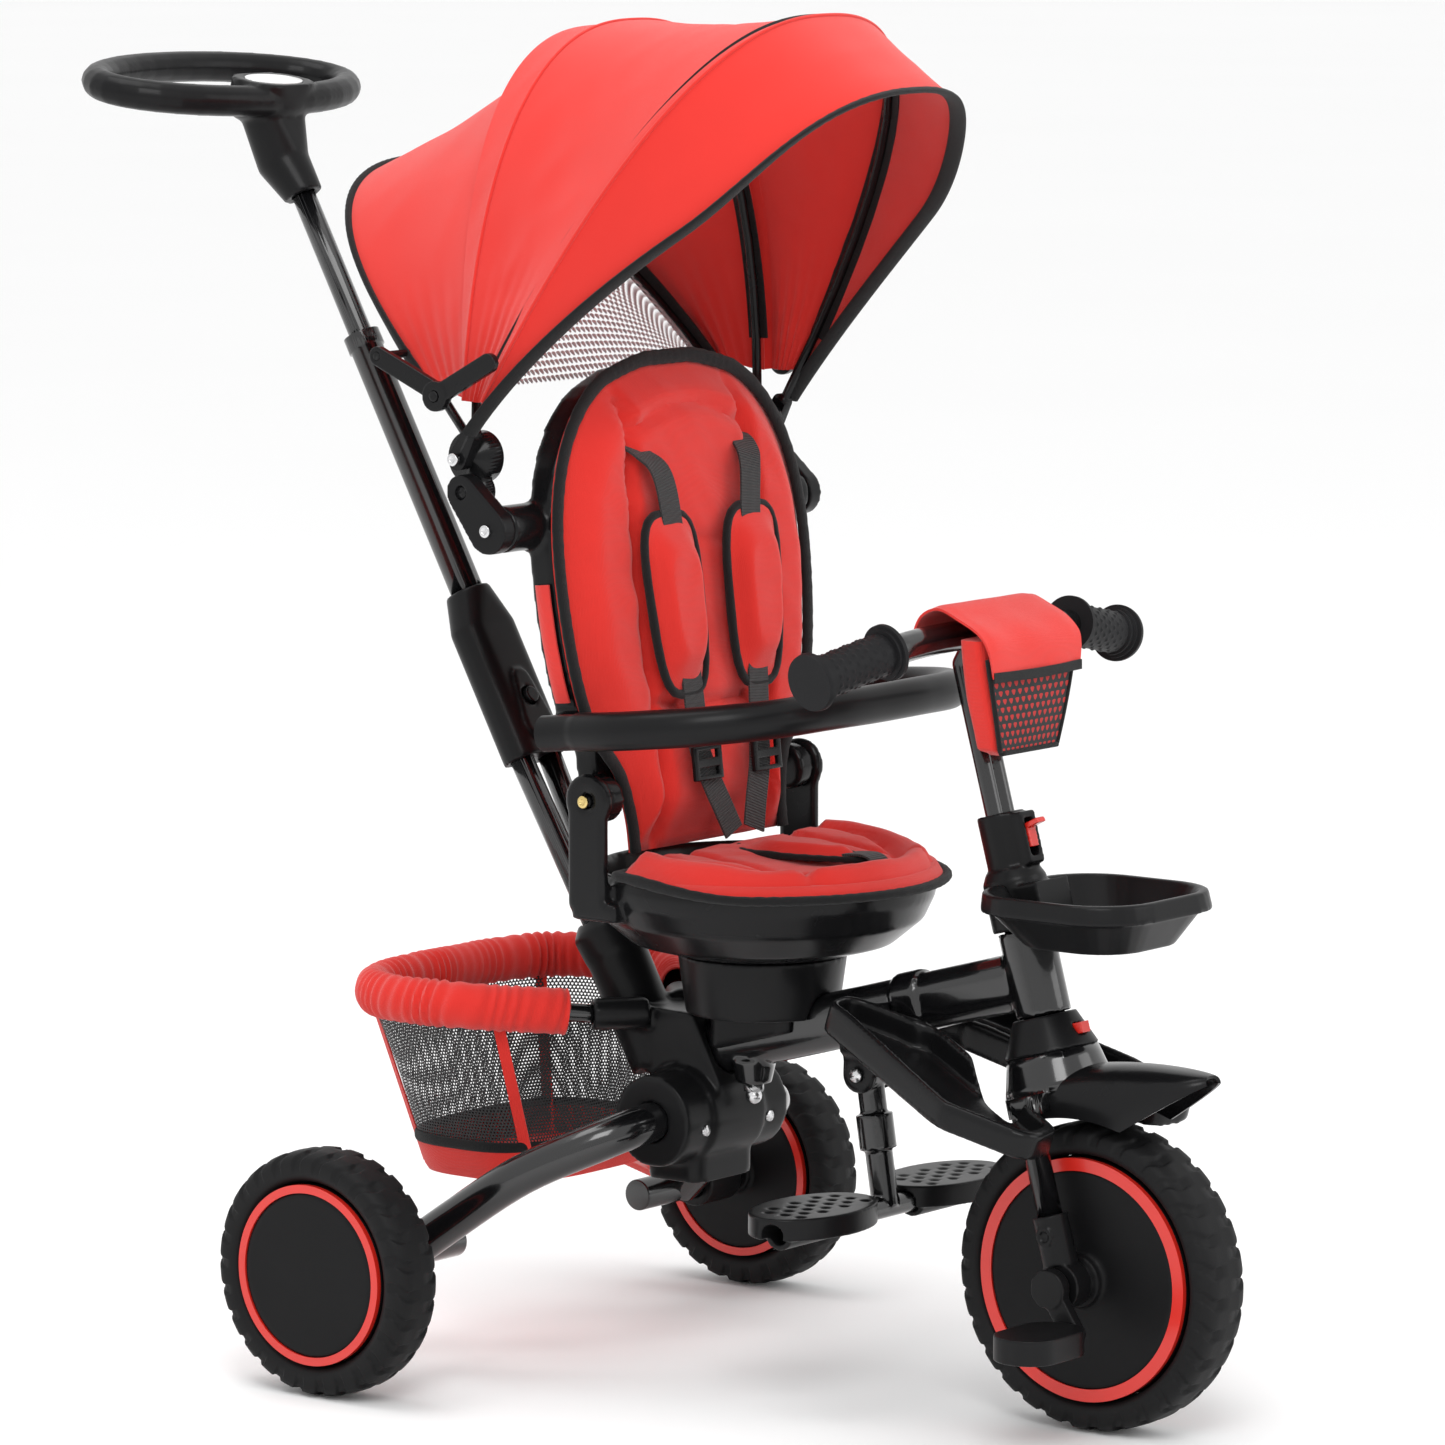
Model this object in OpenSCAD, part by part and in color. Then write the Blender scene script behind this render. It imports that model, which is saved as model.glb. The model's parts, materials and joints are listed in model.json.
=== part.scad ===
// Children's tricycle with a push pole, a swivelling padded seat, a folding canopy,
// a rear basket and a front tray. Millimetres, +X forward, +Y to the child's left, +Z up.
// The origin is on the ground, under the middle of the whole object.

/* [Overall] */
// Distance between the centre planes of the two rear tyres
rear_track = 504; // [480:1:520]
// Position of the rear axle along X
rear_axle_x = -106; // [-112:1:-100]
// Distance from the rear axle to the front axle
wheel_base = 505; // [495:1:520]
// Lean of the steering axis back from vertical, in degrees
head_angle = 15.6; // [14:0.1:17]
// Lean of the push pole back from vertical, in degrees
pole_angle = 28.7; // [26:0.1:31]

/* [Wheels] */
// Outer radius of the rear tyres
rear_tyre_r = 90; // [86:1:92]
// Half the width of a rear tyre
rear_tyre_w = 22; // [20:1:24]
// Outer radius of the front tyre
front_tyre_r = 110; // [106:1:112]
// Half the width of the front tyre
front_tyre_w = 25; // [22:1:26]
// Outer radius of the red ring on a rear wheel
rear_ring_r = 66; // [60:1:70]
// Outer radius of the red ring on the front wheel
front_ring_r = 87; // [82:1:90]
// Radial width of the red ring on a rear wheel
rear_ring_w = 6; // [4:1:9]
// Radial width of the red ring on the front wheel
front_ring_w = 9; // [5:1:12]
// Radius of the rear axle pins
axle_r = 4; // [3:0.5:5]
// Running clearance of a shaft in its bore, on the radius
run_gap = 0.08; // [0.03:0.01:0.1]

/* [Frame] */
// Half the height of the oval main tube
main_h = 21; // [18:1:23]
// Half the width of the oval main tube
main_w = 15; // [12:1:17]
// Slope of the main tube, in degrees
main_slope = 15.5; // [14:0.5:17]
// Outer radius of the arched rear tube
rear_tube_r = 15; // [12:1:16]
// Outer radius of the rear hub of the moulded housing
hub_r = 34; // [30:1:36]
// Half the length of the rear hub
hub_half = 60; // [52:1:62]
// Outer radius of the socket that holds the push pole
socket_r = 24; // [23:0.5:26]

/* [Steering] */
// Radius of the steerer in the head tube
steerer_r = 15; // [12:1:16]
// Wall of the head tube
head_wall = 5; // [3:0.5:6]
// Sideways distance of each fork leg from the middle
leg_y = 44; // [42:1:46]
// Radius of a fork leg
leg_r = 9; // [7:0.5:10]
// Half the width of the handlebar
bar_half = 180; // [170:1:200]
// Radius of the handlebar tube
bar_r = 11; // [9:0.5:12]
// Length of the crank arm
crank_len = 36; // [30:1:42]

/* [Seat] */
// Radius of the seat pan
pan_r = 127; // [115:1:130]
// Lean of the backrest, in degrees
back_lean = 6.5; // [4:0.5:10]
// Thickness of the backrest shell
shell_t = 22; // [16:1:24]
// Thickness of the back cushion
pad_t = 24; // [16:1:26]
// Half the width of the safety bar, to the middle of its tube
guard_half = 164; // [156:1:166]
// Radius of the safety bar
guard_r = 14; // [11:0.5:15]

/* [Canopy] */
// Height of the front bow above its pivot, along the bow
bow_front = 367; // [340:1:380]
// Height of the middle bow above its pivot
bow_mid = 303; // [280:1:310]
// Height of the rear bow above its pivot
bow_rear = 272; // [250:1:285]
// Thickness of the canopy cloth
cloth_t = 2; // [1.5:0.1:2.5]

/* [Push pole] */
// Radius of the upper telescoping tube
pole_up_r = 9; // [8:0.5:10]
// Radius of the wider middle tube
pole_mid_r = 12.5; // [12:0.5:14]
// Length that the upper tube can slide down
pole_slide = 70; // [60:5:110]
// Half the width of the handle loop, to the middle of its bar
loop_half_w = 124; // [120:1:150]
// Half the depth of the handle loop, to the middle of its bar
loop_half_d = 62.5; // [45:1:65]

/* [Basket] */
// Height of the basket's hoop above the ground
hoop_z = 268; // [262:1:272]
// Radius of the hoop's tube
hoop_r = 7; // [5:0.5:8]
// Radius of the gathered cloth sleeve round the hoop
sleeve_r = 15; // [13:0.5:16]
// Height of the basket's floor
floor_z = 134; // [125:1:145]

/* [Hidden] */
$fn = 64;

black = [0.10, 0.10, 0.11];
matte = [0.16, 0.16, 0.17];
red = [0.85, 0.16, 0.13];

front_axle_x = rear_axle_x + wheel_base;
// Seat swivel axis, and the height of the plane where the pan meets the turntable
swivel_x = 97;
pan_bottom = 312;
// Backrest hinge
hinge = [36, 0, 431];
hinge_in = 113;
// Rear hub and pole base
hub = [41, 0, 188];
pole_base = [-58, 0, 331];
// Pole stations, measured along the pole from its base
sleeve_lo = 120;
sleeve_hi = 257;
mid_top = 471;
neck_bottom = 588;
// Steering stations, measured up the steering axis from the front axle
crown_lo = 121;
collar_lo = 162;
head_lo = 188;
head_hi = 250;
stem_lo = 251;
clamp_lo = 294;
clamp_hi = 334;
// Canopy: arm barrel, arm top and bow pivot in X and Z
barrel = [-8, 0, 628];
arm_top = [-32, 0, 654];
bow_pivot = [-35, 0, 678];
// Angles of the bows above horizontal
ang_front = 59;
ang_mid = 88;
ang_rear = 132;
ang_hem = 40.5;
// Reach of the visor's hem from the pivot, and how far its middle is lifted, in degrees
hem_len = 376;
hem_lift = 4;

// ---------- helpers ----------
function curve_pt(a, b, c, d, t) =
  0.5 * (2 * b + (c - a) * t + (2 * a - 5 * b + 4 * c - d) * t * t + (3 * b - a - 3 * c + d) * t * t * t);
// Smooth open curve through the points, with n steps in each span
function smooth(p, n) = concat(
  [for (i = [0:len(p) - 2]) for (k = [0:n - 1])
    curve_pt(p[max(i - 1, 0)], p[i], p[i + 1], p[min(i + 2, len(p) - 1)], k / n)],
  [p[len(p) - 1]]);
function mirror_y(p) = [for (i = [len(p) - 1:-1:0]) [p[i][0], -p[i][1], p[i][2]]];
function oval(a, b, n = 12) = [for (i = [0:n - 1]) [a * cos(360 * i / n), b * sin(360 * i / n)]];
function tangent(p, i) =
  let (d = p[min(i + 1, len(p) - 1)] - p[max(i - 1, 0)]) d / norm(d);

// Solid swept along a path; ref is a direction that the section's first axis stays square to
module sweep(path, section, ref = [0, 0, 1]) {
  n = len(section);
  m = len(path);
  pts = [for (i = [0:m - 1])
    let (t = tangent(path, i), s0 = cross(ref, t), s = s0 / norm(s0), u = cross(t, s))
    for (q = section) path[i] + q[0] * s + q[1] * u];
  sides = [for (i = [0:m - 2]) for (k = [0:n - 1])
    let (a = i * n + k, b = i * n + (k + 1) % n, c = a + n, d = b + n) each [[a, d, b], [a, c, d]]];
  polyhedron(pts, concat([[for (k = [0:n - 1]) k]], sides, [[for (k = [n - 1:-1:0]) (m - 1) * n + k]]));
}

// The same round a closed ring of points
module sweep_loop(path, section, ref = [0, 0, 1]) {
  n = len(section);
  m = len(path);
  pts = [for (i = [0:m - 1])
    let (d = path[(i + 1) % m] - path[(i + m - 1) % m], t = d / norm(d),
      s0 = cross(ref, t), s = s0 / norm(s0), u = cross(t, s))
    for (q = section) path[i] + q[0] * s + q[1] * u];
  polyhedron(pts, [for (i = [0:m - 1]) for (k = [0:n - 1])
    let (a = i * n + k, b = i * n + (k + 1) % n, c = ((i + 1) % m) * n + k, d = ((i + 1) % m) * n + (k + 1) % n)
      each [[a, d, b], [a, c, d]]]);
}

// Closed shell between two grids of points with the same rows and columns
module grid_shell(outer, inner) {
  r = len(outer);
  c = len(outer[0]);
  flat_pts = concat([for (row = outer) each row], [for (row = inner) each row]);
  o = function (i, j) i * c + j;
  q = function (i, j) r * c + i * c + j;
  skin = [for (i = [0:r - 2]) for (j = [0:c - 2]) each [
    [o(i, j), o(i, j + 1), o(i + 1, j + 1)], [o(i, j), o(i + 1, j + 1), o(i + 1, j)],
    [q(i, j), q(i + 1, j + 1), q(i, j + 1)], [q(i, j), q(i + 1, j), q(i + 1, j + 1)]]];
  ends = [for (j = [0:c - 2]) each [
    [o(0, j), q(0, j + 1), o(0, j + 1)], [o(0, j), q(0, j), q(0, j + 1)],
    [o(r - 1, j), o(r - 1, j + 1), q(r - 1, j + 1)], [o(r - 1, j), q(r - 1, j + 1), q(r - 1, j)]]];
  edges = [for (i = [0:r - 2]) each [
    [o(i, 0), o(i + 1, 0), q(i + 1, 0)], [o(i, 0), q(i + 1, 0), q(i, 0)],
    [o(i, c - 1), q(i + 1, c - 1), o(i + 1, c - 1)], [o(i, c - 1), q(i, c - 1), q(i + 1, c - 1)]]];
  polyhedron(flat_pts, concat(skin, ends, edges));
}

// Cylinder along Y, from y0 to y1
module y_cyl(r, y0, y1) { translate([0, y0, 0]) rotate([-90, 0, 0]) cylinder(r = r, h = y1 - y0); }
// The same piece at both sides
module both() { children(); mirror([0, 1, 0]) children(); }
// Frames of the tilted groups
module on_steering() { translate([front_axle_x, 0, front_tyre_r]) rotate([0, -head_angle, 0]) children(); }
module on_pole() { translate(pole_base) rotate([0, -pole_angle, 0]) children(); }
module on_back() { translate(hinge) rotate([0, -back_lean, 0]) children(); }
module slab(size, r) {
  linear_extrude(size[2]) rounded(size[0], size[1], r);
}
module rounded(w, d, r) {
  square([w - 2 * r, d], center = true);
  square([w, d - 2 * r], center = true);
  for (i = [-1, 1], j = [-1, 1]) translate([i * (w / 2 - r), j * (d / 2 - r)]) circle(r);
}
// Capsule-shaped section, tall in its second axis
module stadium(w, h) {
  square([2 * w, 2 * (h - w)], center = true);
  for (s = [-1, 1]) translate([0, s * (h - w)]) circle(w);
}

// ---------- frame ----------
// Middle of the main tube, where it crosses the swivel axis
main_mid = [swivel_x, 0, 249];
main_back = 62;
main_front = 232;
band_at = 134;
module main_axis() { translate(main_mid) rotate([0, -main_slope, 0]) children(); }
module main_frame() color(black) {
  difference() {
    union() {
      difference() {
        main_axis() translate([-main_back, 0, 0]) rotate([90, 0, 90])
          linear_extrude(main_back + main_front + 24) stadium(main_w, main_h);
        on_steering() translate([0, 0, head_lo - 60]) cylinder(r = steerer_r + 1, h = 200);
        on_steering() translate([0, 0, head_hi]) cylinder(r = 60, h = 60);
        on_steering() translate([0, 0, head_lo - 60]) cylinder(r = 60, h = 60);
        on_steering() translate([steerer_r + 2, -40, head_lo - 60]) cube([80, 80, 200]);
      }
      on_steering() translate([0, 0, head_lo]) cylinder(r = steerer_r + head_wall, h = head_hi - head_lo);
      main_axis() translate([band_at, 0, 0]) rotate([90, 0, 90])
        linear_extrude(22) stadium(main_w + 3, main_h + 3);
      translate([swivel_x - 8, 0, main_mid[2] - main_h - 14]) cylinder(r1 = 13, r2 = 17, h = 18);
    }
    on_steering() translate([0, 0, head_lo - 60]) cylinder(r = steerer_r + run_gap, h = 200);
    translate([swivel_x - 8, 0, 0]) cylinder(r = bolt_r, h = 400);
  }
}
bolt_r = 5;
nut_z = main_mid[2] - main_h - 14;

// Moulded housing: hub across the rear, pole socket and two stubs for the basket hoop
module rear_housing() color(matte) difference() {
  union() {
    translate(hub) y_cyl(hub_r, -hub_half, hub_half);
    translate(hub) y_cyl(hub_r + 3, -30, 30);
    on_pole() translate([0, 0, -128]) cylinder(r = socket_r - 1, h = 112);
    on_pole() translate([0, 0, -40]) cylinder(r1 = socket_r, r2 = socket_r + 2, h = 20);
    on_pole() translate([0, 0, -20]) cylinder(r1 = socket_r + 2, r2 = 19, h = 10);
    hull() {
      translate([hub[0] + 14, 0, hub[2] + 14]) cube([40, 44, 20], center = true);
      main_axis() translate([-main_back + 10, 0, 0]) cube([20, 46, 54], center = true);
      on_pole() translate([0, 0, -96]) cube([20, 40, 30], center = true);
    }
    both() stub();
    translate(hub + [-2, 0, -hub_r - 14]) slab([50, 70, 24], 10);
  }
  main_axis() translate([-main_back, 0, 0]) rotate([90, 0, 90]) linear_extrude(90) stadium(main_w, main_h);
  on_pole() translate([0, 0, -70]) for (s = [-1, 1]) translate([0, s * 7.5, 0]) rotate([-s * 2.6, 0, 0])
    cylinder(r = 9, h = 90);
  both() sweep(tube_half, oval(rear_tube_r, rear_tube_r), [0, 0, 1]);
  sweep(hoop_path, oval(hoop_r, hoop_r, 10));
  for (s = [-1, 1]) translate(hub + [hub_r - 2, s * 38, -6]) rotate([0, 90, 0]) cylinder(r = 4.5, h = 8);
}
stub_end = [-16, -46, hoop_z - 8];
module stub() translate(stub_end) rotate([0, 0, 49]) rotate([0, 90, 0]) translate([0, 0, -8]) cylinder(r = 12, h = 42);

// Arched tube through the hub, with a sleeve for each rear axle
tube_half = smooth([[41, 0, 188], [41, -30, 188], [40.5, -62, 187.5], [28, -100, 179], [-20, -134, 153],
  [-72, -150, 116], [rear_axle_x + 2, -160, rear_tyre_r + 1]], 3);
sleeve_in = 108;
wheel_in = rear_track / 2 - rear_tyre_w - 5;
module rear_axle_tube() color(black) difference() {
  union() {
    both() sweep(tube_half, oval(rear_tube_r, rear_tube_r), [0, 0, 1]);
    both() translate([rear_axle_x, 0, rear_tyre_r]) y_cyl(12, sleeve_in, wheel_in - 0.4);
  }
  both() translate([rear_axle_x, 0, rear_tyre_r]) y_cyl(axle_r, wheel_in - 60, wheel_in + 1);
}
module axle_pins() both() translate([rear_axle_x, 0, rear_tyre_r]) {
  y_cyl(axle_r, wheel_in - 60, rear_track / 2 + 12);
  y_cyl(7, rear_track / 2 + 12, rear_track / 2 + 15);
}

// Turntable under the seat, with a saddle over the main tube
module turntable() color(matte) difference() {
  union() {
    translate([swivel_x, 0, 268]) cylinder(r1 = 56, r2 = 62, h = pan_bottom - 268 - 0.5);
    translate([swivel_x + 2, 0, 240]) slab([76, 46, 40], 12);
  }
  main_axis() translate([-120, 0, 0]) rotate([90, 0, 90]) linear_extrude(240) stadium(main_w, main_h);
  main_axis() translate([-120, -60, -60]) cube([240, 120, 58]);
  translate([swivel_x - 8, 0, 240]) cylinder(r = bolt_r, h = 40);
  translate([swivel_x, 0, 290]) cylinder(r = 20 + run_gap, h = 40);
}

// Two scoops for the feet, one each side of the main tube
module trough_slab(x, y, z, w, d, h) translate([x, y, z]) rotate([0, 16, 12]) slab([w, d, h], d / 3);
module foot_troughs() color(matte) {
  scoops();
  footrest_bracket();
  cradle();
  both() difference() {
    translate([214, 20, 264]) cube([44, 10, 18]);
    main_axis() rotate([90, 0, 90]) linear_extrude(240) stadium(main_w, main_h);
  }
}
// Lower half collar that carries the scoops under the main tube
module cradle() main_axis() translate([band_at - 38, 0, 0]) rotate([90, 0, 90]) linear_extrude(37.7) difference() {
  intersection() {
    stadium(main_w + 12, main_h + 7);
    translate([-40, -40]) square([80, 46]);
  }
  stadium(main_w, main_h);
}
module scoops() difference() {
  both() difference() {
    hull() { $fn = 32; trough_slab(238, -46, 262, 84, 42, 24); trough_slab(364, -88, 217, 84, 52, 20); }
    hull() { $fn = 32; trough_slab(240, -46, 267, 74, 30, 40); trough_slab(362, -87, 223, 72, 40, 40); }
  }
  main_axis() translate([-120, 0, 0]) rotate([90, 0, 90]) linear_extrude(400) stadium(main_w + 3.3, main_h + 3.3);
  on_steering() cylinder(r = 56, h = 200);
}
post_pivot = [194, 0, 233];
module footrest_bracket() difference() {
  union() {
    for (s = [-1, 1]) translate([post_pivot[0], s * 12.5, post_pivot[2]]) rotate([90, 0, 0]) {
      translate([0, 0, -2.5]) cylinder(r = 15, h = 5);
      translate([-14, 0, -2.5]) cube([38, 34, 5]);
    }
    for (s = [-1, 1]) translate([post_pivot[0] - 14, s * 17.3 - 2.3, post_pivot[2] + 14]) cube([38, 4.6, 26]);
  }
  main_axis() translate([-120, 0, 0]) rotate([90, 0, 90]) linear_extrude(400) stadium(main_w, main_h);
  translate(post_pivot) y_cyl(3, -20, 20);
}

// Small screws, pins and the nut that show on the frame
module frame_screws() color("silver") {
  axle_pins();
  translate(post_pivot) y_cyl(3, -17, 17);
  translate(post_pivot) both() y_cyl(5, 15, 17.5);
  translate([swivel_x - 8, 0, nut_z - 6]) cylinder(r = 8, h = 6, $fn = 6);
  translate([swivel_x - 8, 0, nut_z - 9]) cylinder(r = bolt_r, h = 60);
  translate([swivel_x - 8, 0, nut_z - 10]) sphere(6);
  for (s = [-1, 1]) translate(hub + [hub_r - 2, s * 38, -6]) rotate([0, 90, 0]) cylinder(r = 4, h = 2.5);
}

// ---------- push pole ----------
module pole_lower() color(black) on_pole() {
  for (s = [-1, 1]) translate([0, s * 7.5, -70]) rotate([-s * 2.6, 0, 0]) cylinder(r = 9, h = 190 + 24);
}
module pole_sleeve() color(matte) on_pole() difference() {
  union() {
    translate([0, 0, sleeve_lo]) slab([30, 58, sleeve_hi - sleeve_lo - 30], 14);
    hull() { $fn = 32;
      translate([0, 0, sleeve_hi - 31]) slab([30, 58, 1], 14);
      translate([0, 0, sleeve_hi - 4]) cylinder(r = 17, h = 4);
    }
    hull() { $fn = 32;
      translate([10, 0, sleeve_lo + 24]) rotate([0, 90, 0]) cylinder(r = 16, h = 8);
      translate([10, 0, sleeve_lo + 58]) rotate([0, 90, 0]) cylinder(r = 9, h = 8);
    }
  }
  for (s = [-1, 1]) translate([0, s * 7.5, -70]) rotate([-s * 2.6, 0, 0]) cylinder(r = 9, h = 190 + 24);
  translate([0, 0, sleeve_hi - 60]) cylinder(r = pole_mid_r, h = 80);
  translate([10, 0, sleeve_lo + 44]) rotate([0, 90, 0]) cylinder(r = 7.3, h = 20);
}
// Push button that frees the telescoping tube
module pole_button() color(matte) on_pole() translate([13, 0, sleeve_lo + 44]) rotate([0, 90, 0])
  cylinder(r = 7, h = 8);
module pole_mid() color(black) on_pole() difference() {
  union() {
    translate([0, 0, sleeve_hi - 60]) cylinder(r = pole_mid_r, h = mid_top - sleeve_hi + 60);
    translate([0, 0, mid_top - 12]) cylinder(r = pole_mid_r + 1.5, h = 12);
  }
  translate([0, 0, mid_top - 240]) cylinder(r = pole_up_r + run_gap, h = 300);
}
module pole_upper() color(black) on_pole() translate([0, 0, mid_top - 120])
  cylinder(r = pole_up_r, h = neck_bottom - mid_top + 120 + 30);

// Neck and oval loop; the loop lies nearly level, behind the top of the pole
loop_mid = [-421, 0, 929];
loop_tilt = 10;
function loop_pt(a) = loop_mid
  + [loop_half_d * cos(a) * cos(loop_tilt), loop_half_w * sin(a), -loop_half_d * cos(a) * sin(loop_tilt)];
module on_badge() translate([-370, 0, 932]) rotate([0, loop_tilt, 0]) children();
module push_handle() color(matte) difference() {
  union() {
    sweep_loop([for (i = [0:35]) loop_pt(i * 10)], oval(12, 12));
    hull() { $fn = 32;
      translate([-374, 0, 914]) scale([1, 1.5, 0.6]) sphere(26);
      on_badge() translate([0, 0, -9]) slab([46, 68, 11], 20);
    }
    hull() { $fn = 32;
      translate([-372, 0, 908]) slab([34, 56, 4], 16);
      on_pole() translate([-6, 0, neck_bottom + 30]) cylinder(r = 20, h = 4);
    }
    hull() { $fn = 32;
      on_pole() translate([-6, 0, neck_bottom + 30]) cylinder(r = 20, h = 4);
      on_pole() translate([0, 0, neck_bottom]) cylinder(r = 15, h = 10);
    }
  }
  on_pole() translate([0, 0, neck_bottom - 5]) cylinder(r = pole_up_r, h = 35);
  on_badge() scale([1, 1.45, 1]) cylinder(r = 18, h = 10);
}
module handle_badge() color("white") on_badge() scale([1, 1.45, 1]) cylinder(r = 18, h = 2);

// ---------- basket ----------
hoop_half = smooth([[-18, -49, hoop_z - 8], [-46, -80, hoop_z - 4], [-96, -118, hoop_z], [-150, -122, hoop_z],
  [-188, -104, hoop_z], [-203, -60, hoop_z], [-206, 0, hoop_z]], 3);
hoop_path = concat(hoop_half, [for (i = [1:len(hoop_half) - 1]) mirror_y(hoop_half)[i]]);
module basket_hoop() color(black) {
  sweep(hoop_path, oval(hoop_r, hoop_r, 10));
}
module rim_cloth(grow) sweep([for (i = [2:len(hoop_path) - 3]) hoop_path[i]],
  oval(sleeve_r + grow, sleeve_r + 4 + grow, 10));
module basket_sleeve() color(red) difference() {
  rim_cloth(0);
  sweep(hoop_path, oval(hoop_r + 0.3, hoop_r + 0.3, 10));
}
module basket_shape(top, bottom, in_x) hull() { $fn = 32;
  translate([-132, 0, top]) slab([148 - 2 * in_x, 244 - 2 * in_x, 1], 50);
  translate([-112, 0, bottom]) slab([126 - 2 * in_x, 180 - 2 * in_x, 1], 30);
}
net_top = hoop_z - sleeve_r;
module basket_net() color(matte) difference() {
  basket_shape(net_top, floor_z, 0);
  basket_shape(net_top + 3, floor_z + 3, 3);
  rim_cloth(0.3);
}

// ---------- brake on the left rear sleeve ----------
brake_pin = [rear_axle_x - 26, 0, rear_tyre_r - 6];
module brake_housing() color(matte) difference() {
  union() {
    translate([rear_axle_x, 0, rear_tyre_r]) y_cyl(19, 176, 214);
    translate([brake_pin[0] + 12, 195, brake_pin[2]]) cube([36, 38, 22], center = true);
  }
  translate([rear_axle_x, 0, rear_tyre_r]) y_cyl(12.05, 170, 220);
  translate([brake_pin[0] - 16, 183, brake_pin[2] - 20]) cube([24, 24, 40]);
  translate(brake_pin) y_cyl(3 + run_gap, 170, 220);
}
module brake_pedal() color(matte) {
  translate(brake_pin) y_cyl(7, 183.4, 206.6);
  translate(brake_pin + [-30, 195, 5]) rotate([0, 14, 0]) slab([60, 22, 5], 9);
  translate(brake_pin) y_cyl(3, 177, 213);
}

// ---------- rear wheels ----------
function tyre_points(r_in, r_out, w) = concat([[r_in, -w], [r_in, w]],
  [for (i = [0:12]) let (a = 90 - i * 15)
    [r_in + (r_out - r_in) * pow(cos(a), 0.62), w * sign(sin(a)) * pow(abs(sin(a)), 0.62)]]);
module tyre(r_in, r_out, w) rotate([90, 0, 0]) rotate_extrude($fn = 96)
  polygon([for (i = [1:14]) tyre_points(r_in, r_out, w)[i]]);
// Rim: a flat disc on each face, a step that seats the red rings, and a hub bore
module rim(ring_r, ring_w, w, bore) rotate([90, 0, 0]) difference() {
  rotate_extrude($fn = 96) polygon([[bore, -w + 0.5], [ring_r - ring_w, -w + 0.5], [ring_r - ring_w, -w + 4],
    [ring_r, -w + 4], [ring_r, w - 4], [ring_r - ring_w, w - 4], [ring_r - ring_w, w - 0.5], [bore, w - 0.5]]);
}
module rings(ring_r, ring_w, w) rotate([90, 0, 0]) for (s = [0, 1]) mirror([0, 0, s])
  rotate_extrude($fn = 96) translate([ring_r - ring_w, w - 4]) square([ring_w, 4]);
module rear_wheel_at(s) translate([rear_axle_x, s * rear_track / 2, rear_tyre_r]) children();
module rear_rim(s) color(matte) rear_wheel_at(s) mirror([0, s > 0 ? 0 : 1, 0]) difference() {
  union() {
    rim(rear_ring_r, rear_ring_w, rear_tyre_w, 0);
    y_cyl(16, -rear_tyre_w - 5, -rear_tyre_w + 2);
  }
  y_cyl(axle_r + run_gap, -60, 12.1);
  y_cyl(7.5, 11.9, 15.5);
}
module tyre_rear_right() color(black) rear_wheel_at(-1) tyre(rear_ring_r, rear_tyre_r, rear_tyre_w);
module tyre_rear_left() color(black) rear_wheel_at(1) tyre(rear_ring_r, rear_tyre_r, rear_tyre_w);
module rim_rear_right() rear_rim(-1);
module rim_rear_left() rear_rim(1);
module rings_rear_right() color(red) rear_wheel_at(-1) rings(rear_ring_r, rear_ring_w, rear_tyre_w);
module rings_rear_left() color(red) rear_wheel_at(1) rings(rear_ring_r, rear_ring_w, rear_tyre_w);

// ---------- steering ----------
module fork() color(black) on_steering() {
  both() translate([0, leg_y, 40]) cylinder(r = leg_r, h = crown_lo - 35);
  translate([0, 0, crown_lo]) slab([30, 2 * (leg_y + leg_r), 14], 9);
  translate([0, 0, crown_lo + 13]) cylinder(r1 = 40, r2 = 33, h = collar_lo - crown_lo - 13);
  translate([0, 0, collar_lo]) cylinder(r = steerer_r, h = clamp_lo - collar_lo - 10);
}
module fork_dropouts() color(matte) on_steering() both() difference() {
  union() {
    translate([0, leg_y, 14]) cylinder(r = 12.5, h = 36);
    y_cyl(17, leg_y - 9, leg_y + 9);
    translate([0, leg_y + 9, 36]) y_cyl(7, 0, 4);
  }
  translate([0, leg_y, 40]) cylinder(r = leg_r, h = 40);
  y_cyl(6 + run_gap, 0, 80);
  translate([0, leg_y + 11, 36]) y_cyl(4, 0, 4);
}
module fender() color(matte) on_steering() difference() {
  hull() { $fn = 32;
    translate([2, 0, crown_lo + 16]) cylinder(r = 36, h = 12);
    translate([127, 0, 119]) sphere(3);
    for (s = [-1, 1]) translate([-16, s * 30, 96]) cylinder(r = 4, h = 24);
    for (s = [-1, 1]) translate([66, s * 30, 92]) cylinder(r = 4, h = 16);
  }
  y_cyl(front_tyre_r + 7, -60, 60);
  translate([0, 0, crown_lo]) slab([30, 2 * (leg_y + leg_r), 14], 9);
  translate([0, 0, crown_lo + 13]) cylinder(r1 = 40, r2 = 33, h = collar_lo - crown_lo - 13);
}
module fork_collar() color(matte) on_steering() difference() {
  translate([0, 0, collar_lo]) cylinder(r1 = 34, r2 = 23, h = head_lo - collar_lo - 0.5);
  translate([0, 0, collar_lo - 1]) cylinder(r = steerer_r, h = 60);
  translate([16, -5.3, collar_lo + 7.7]) cube([30, 10.6, 8.6]);
}
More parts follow.
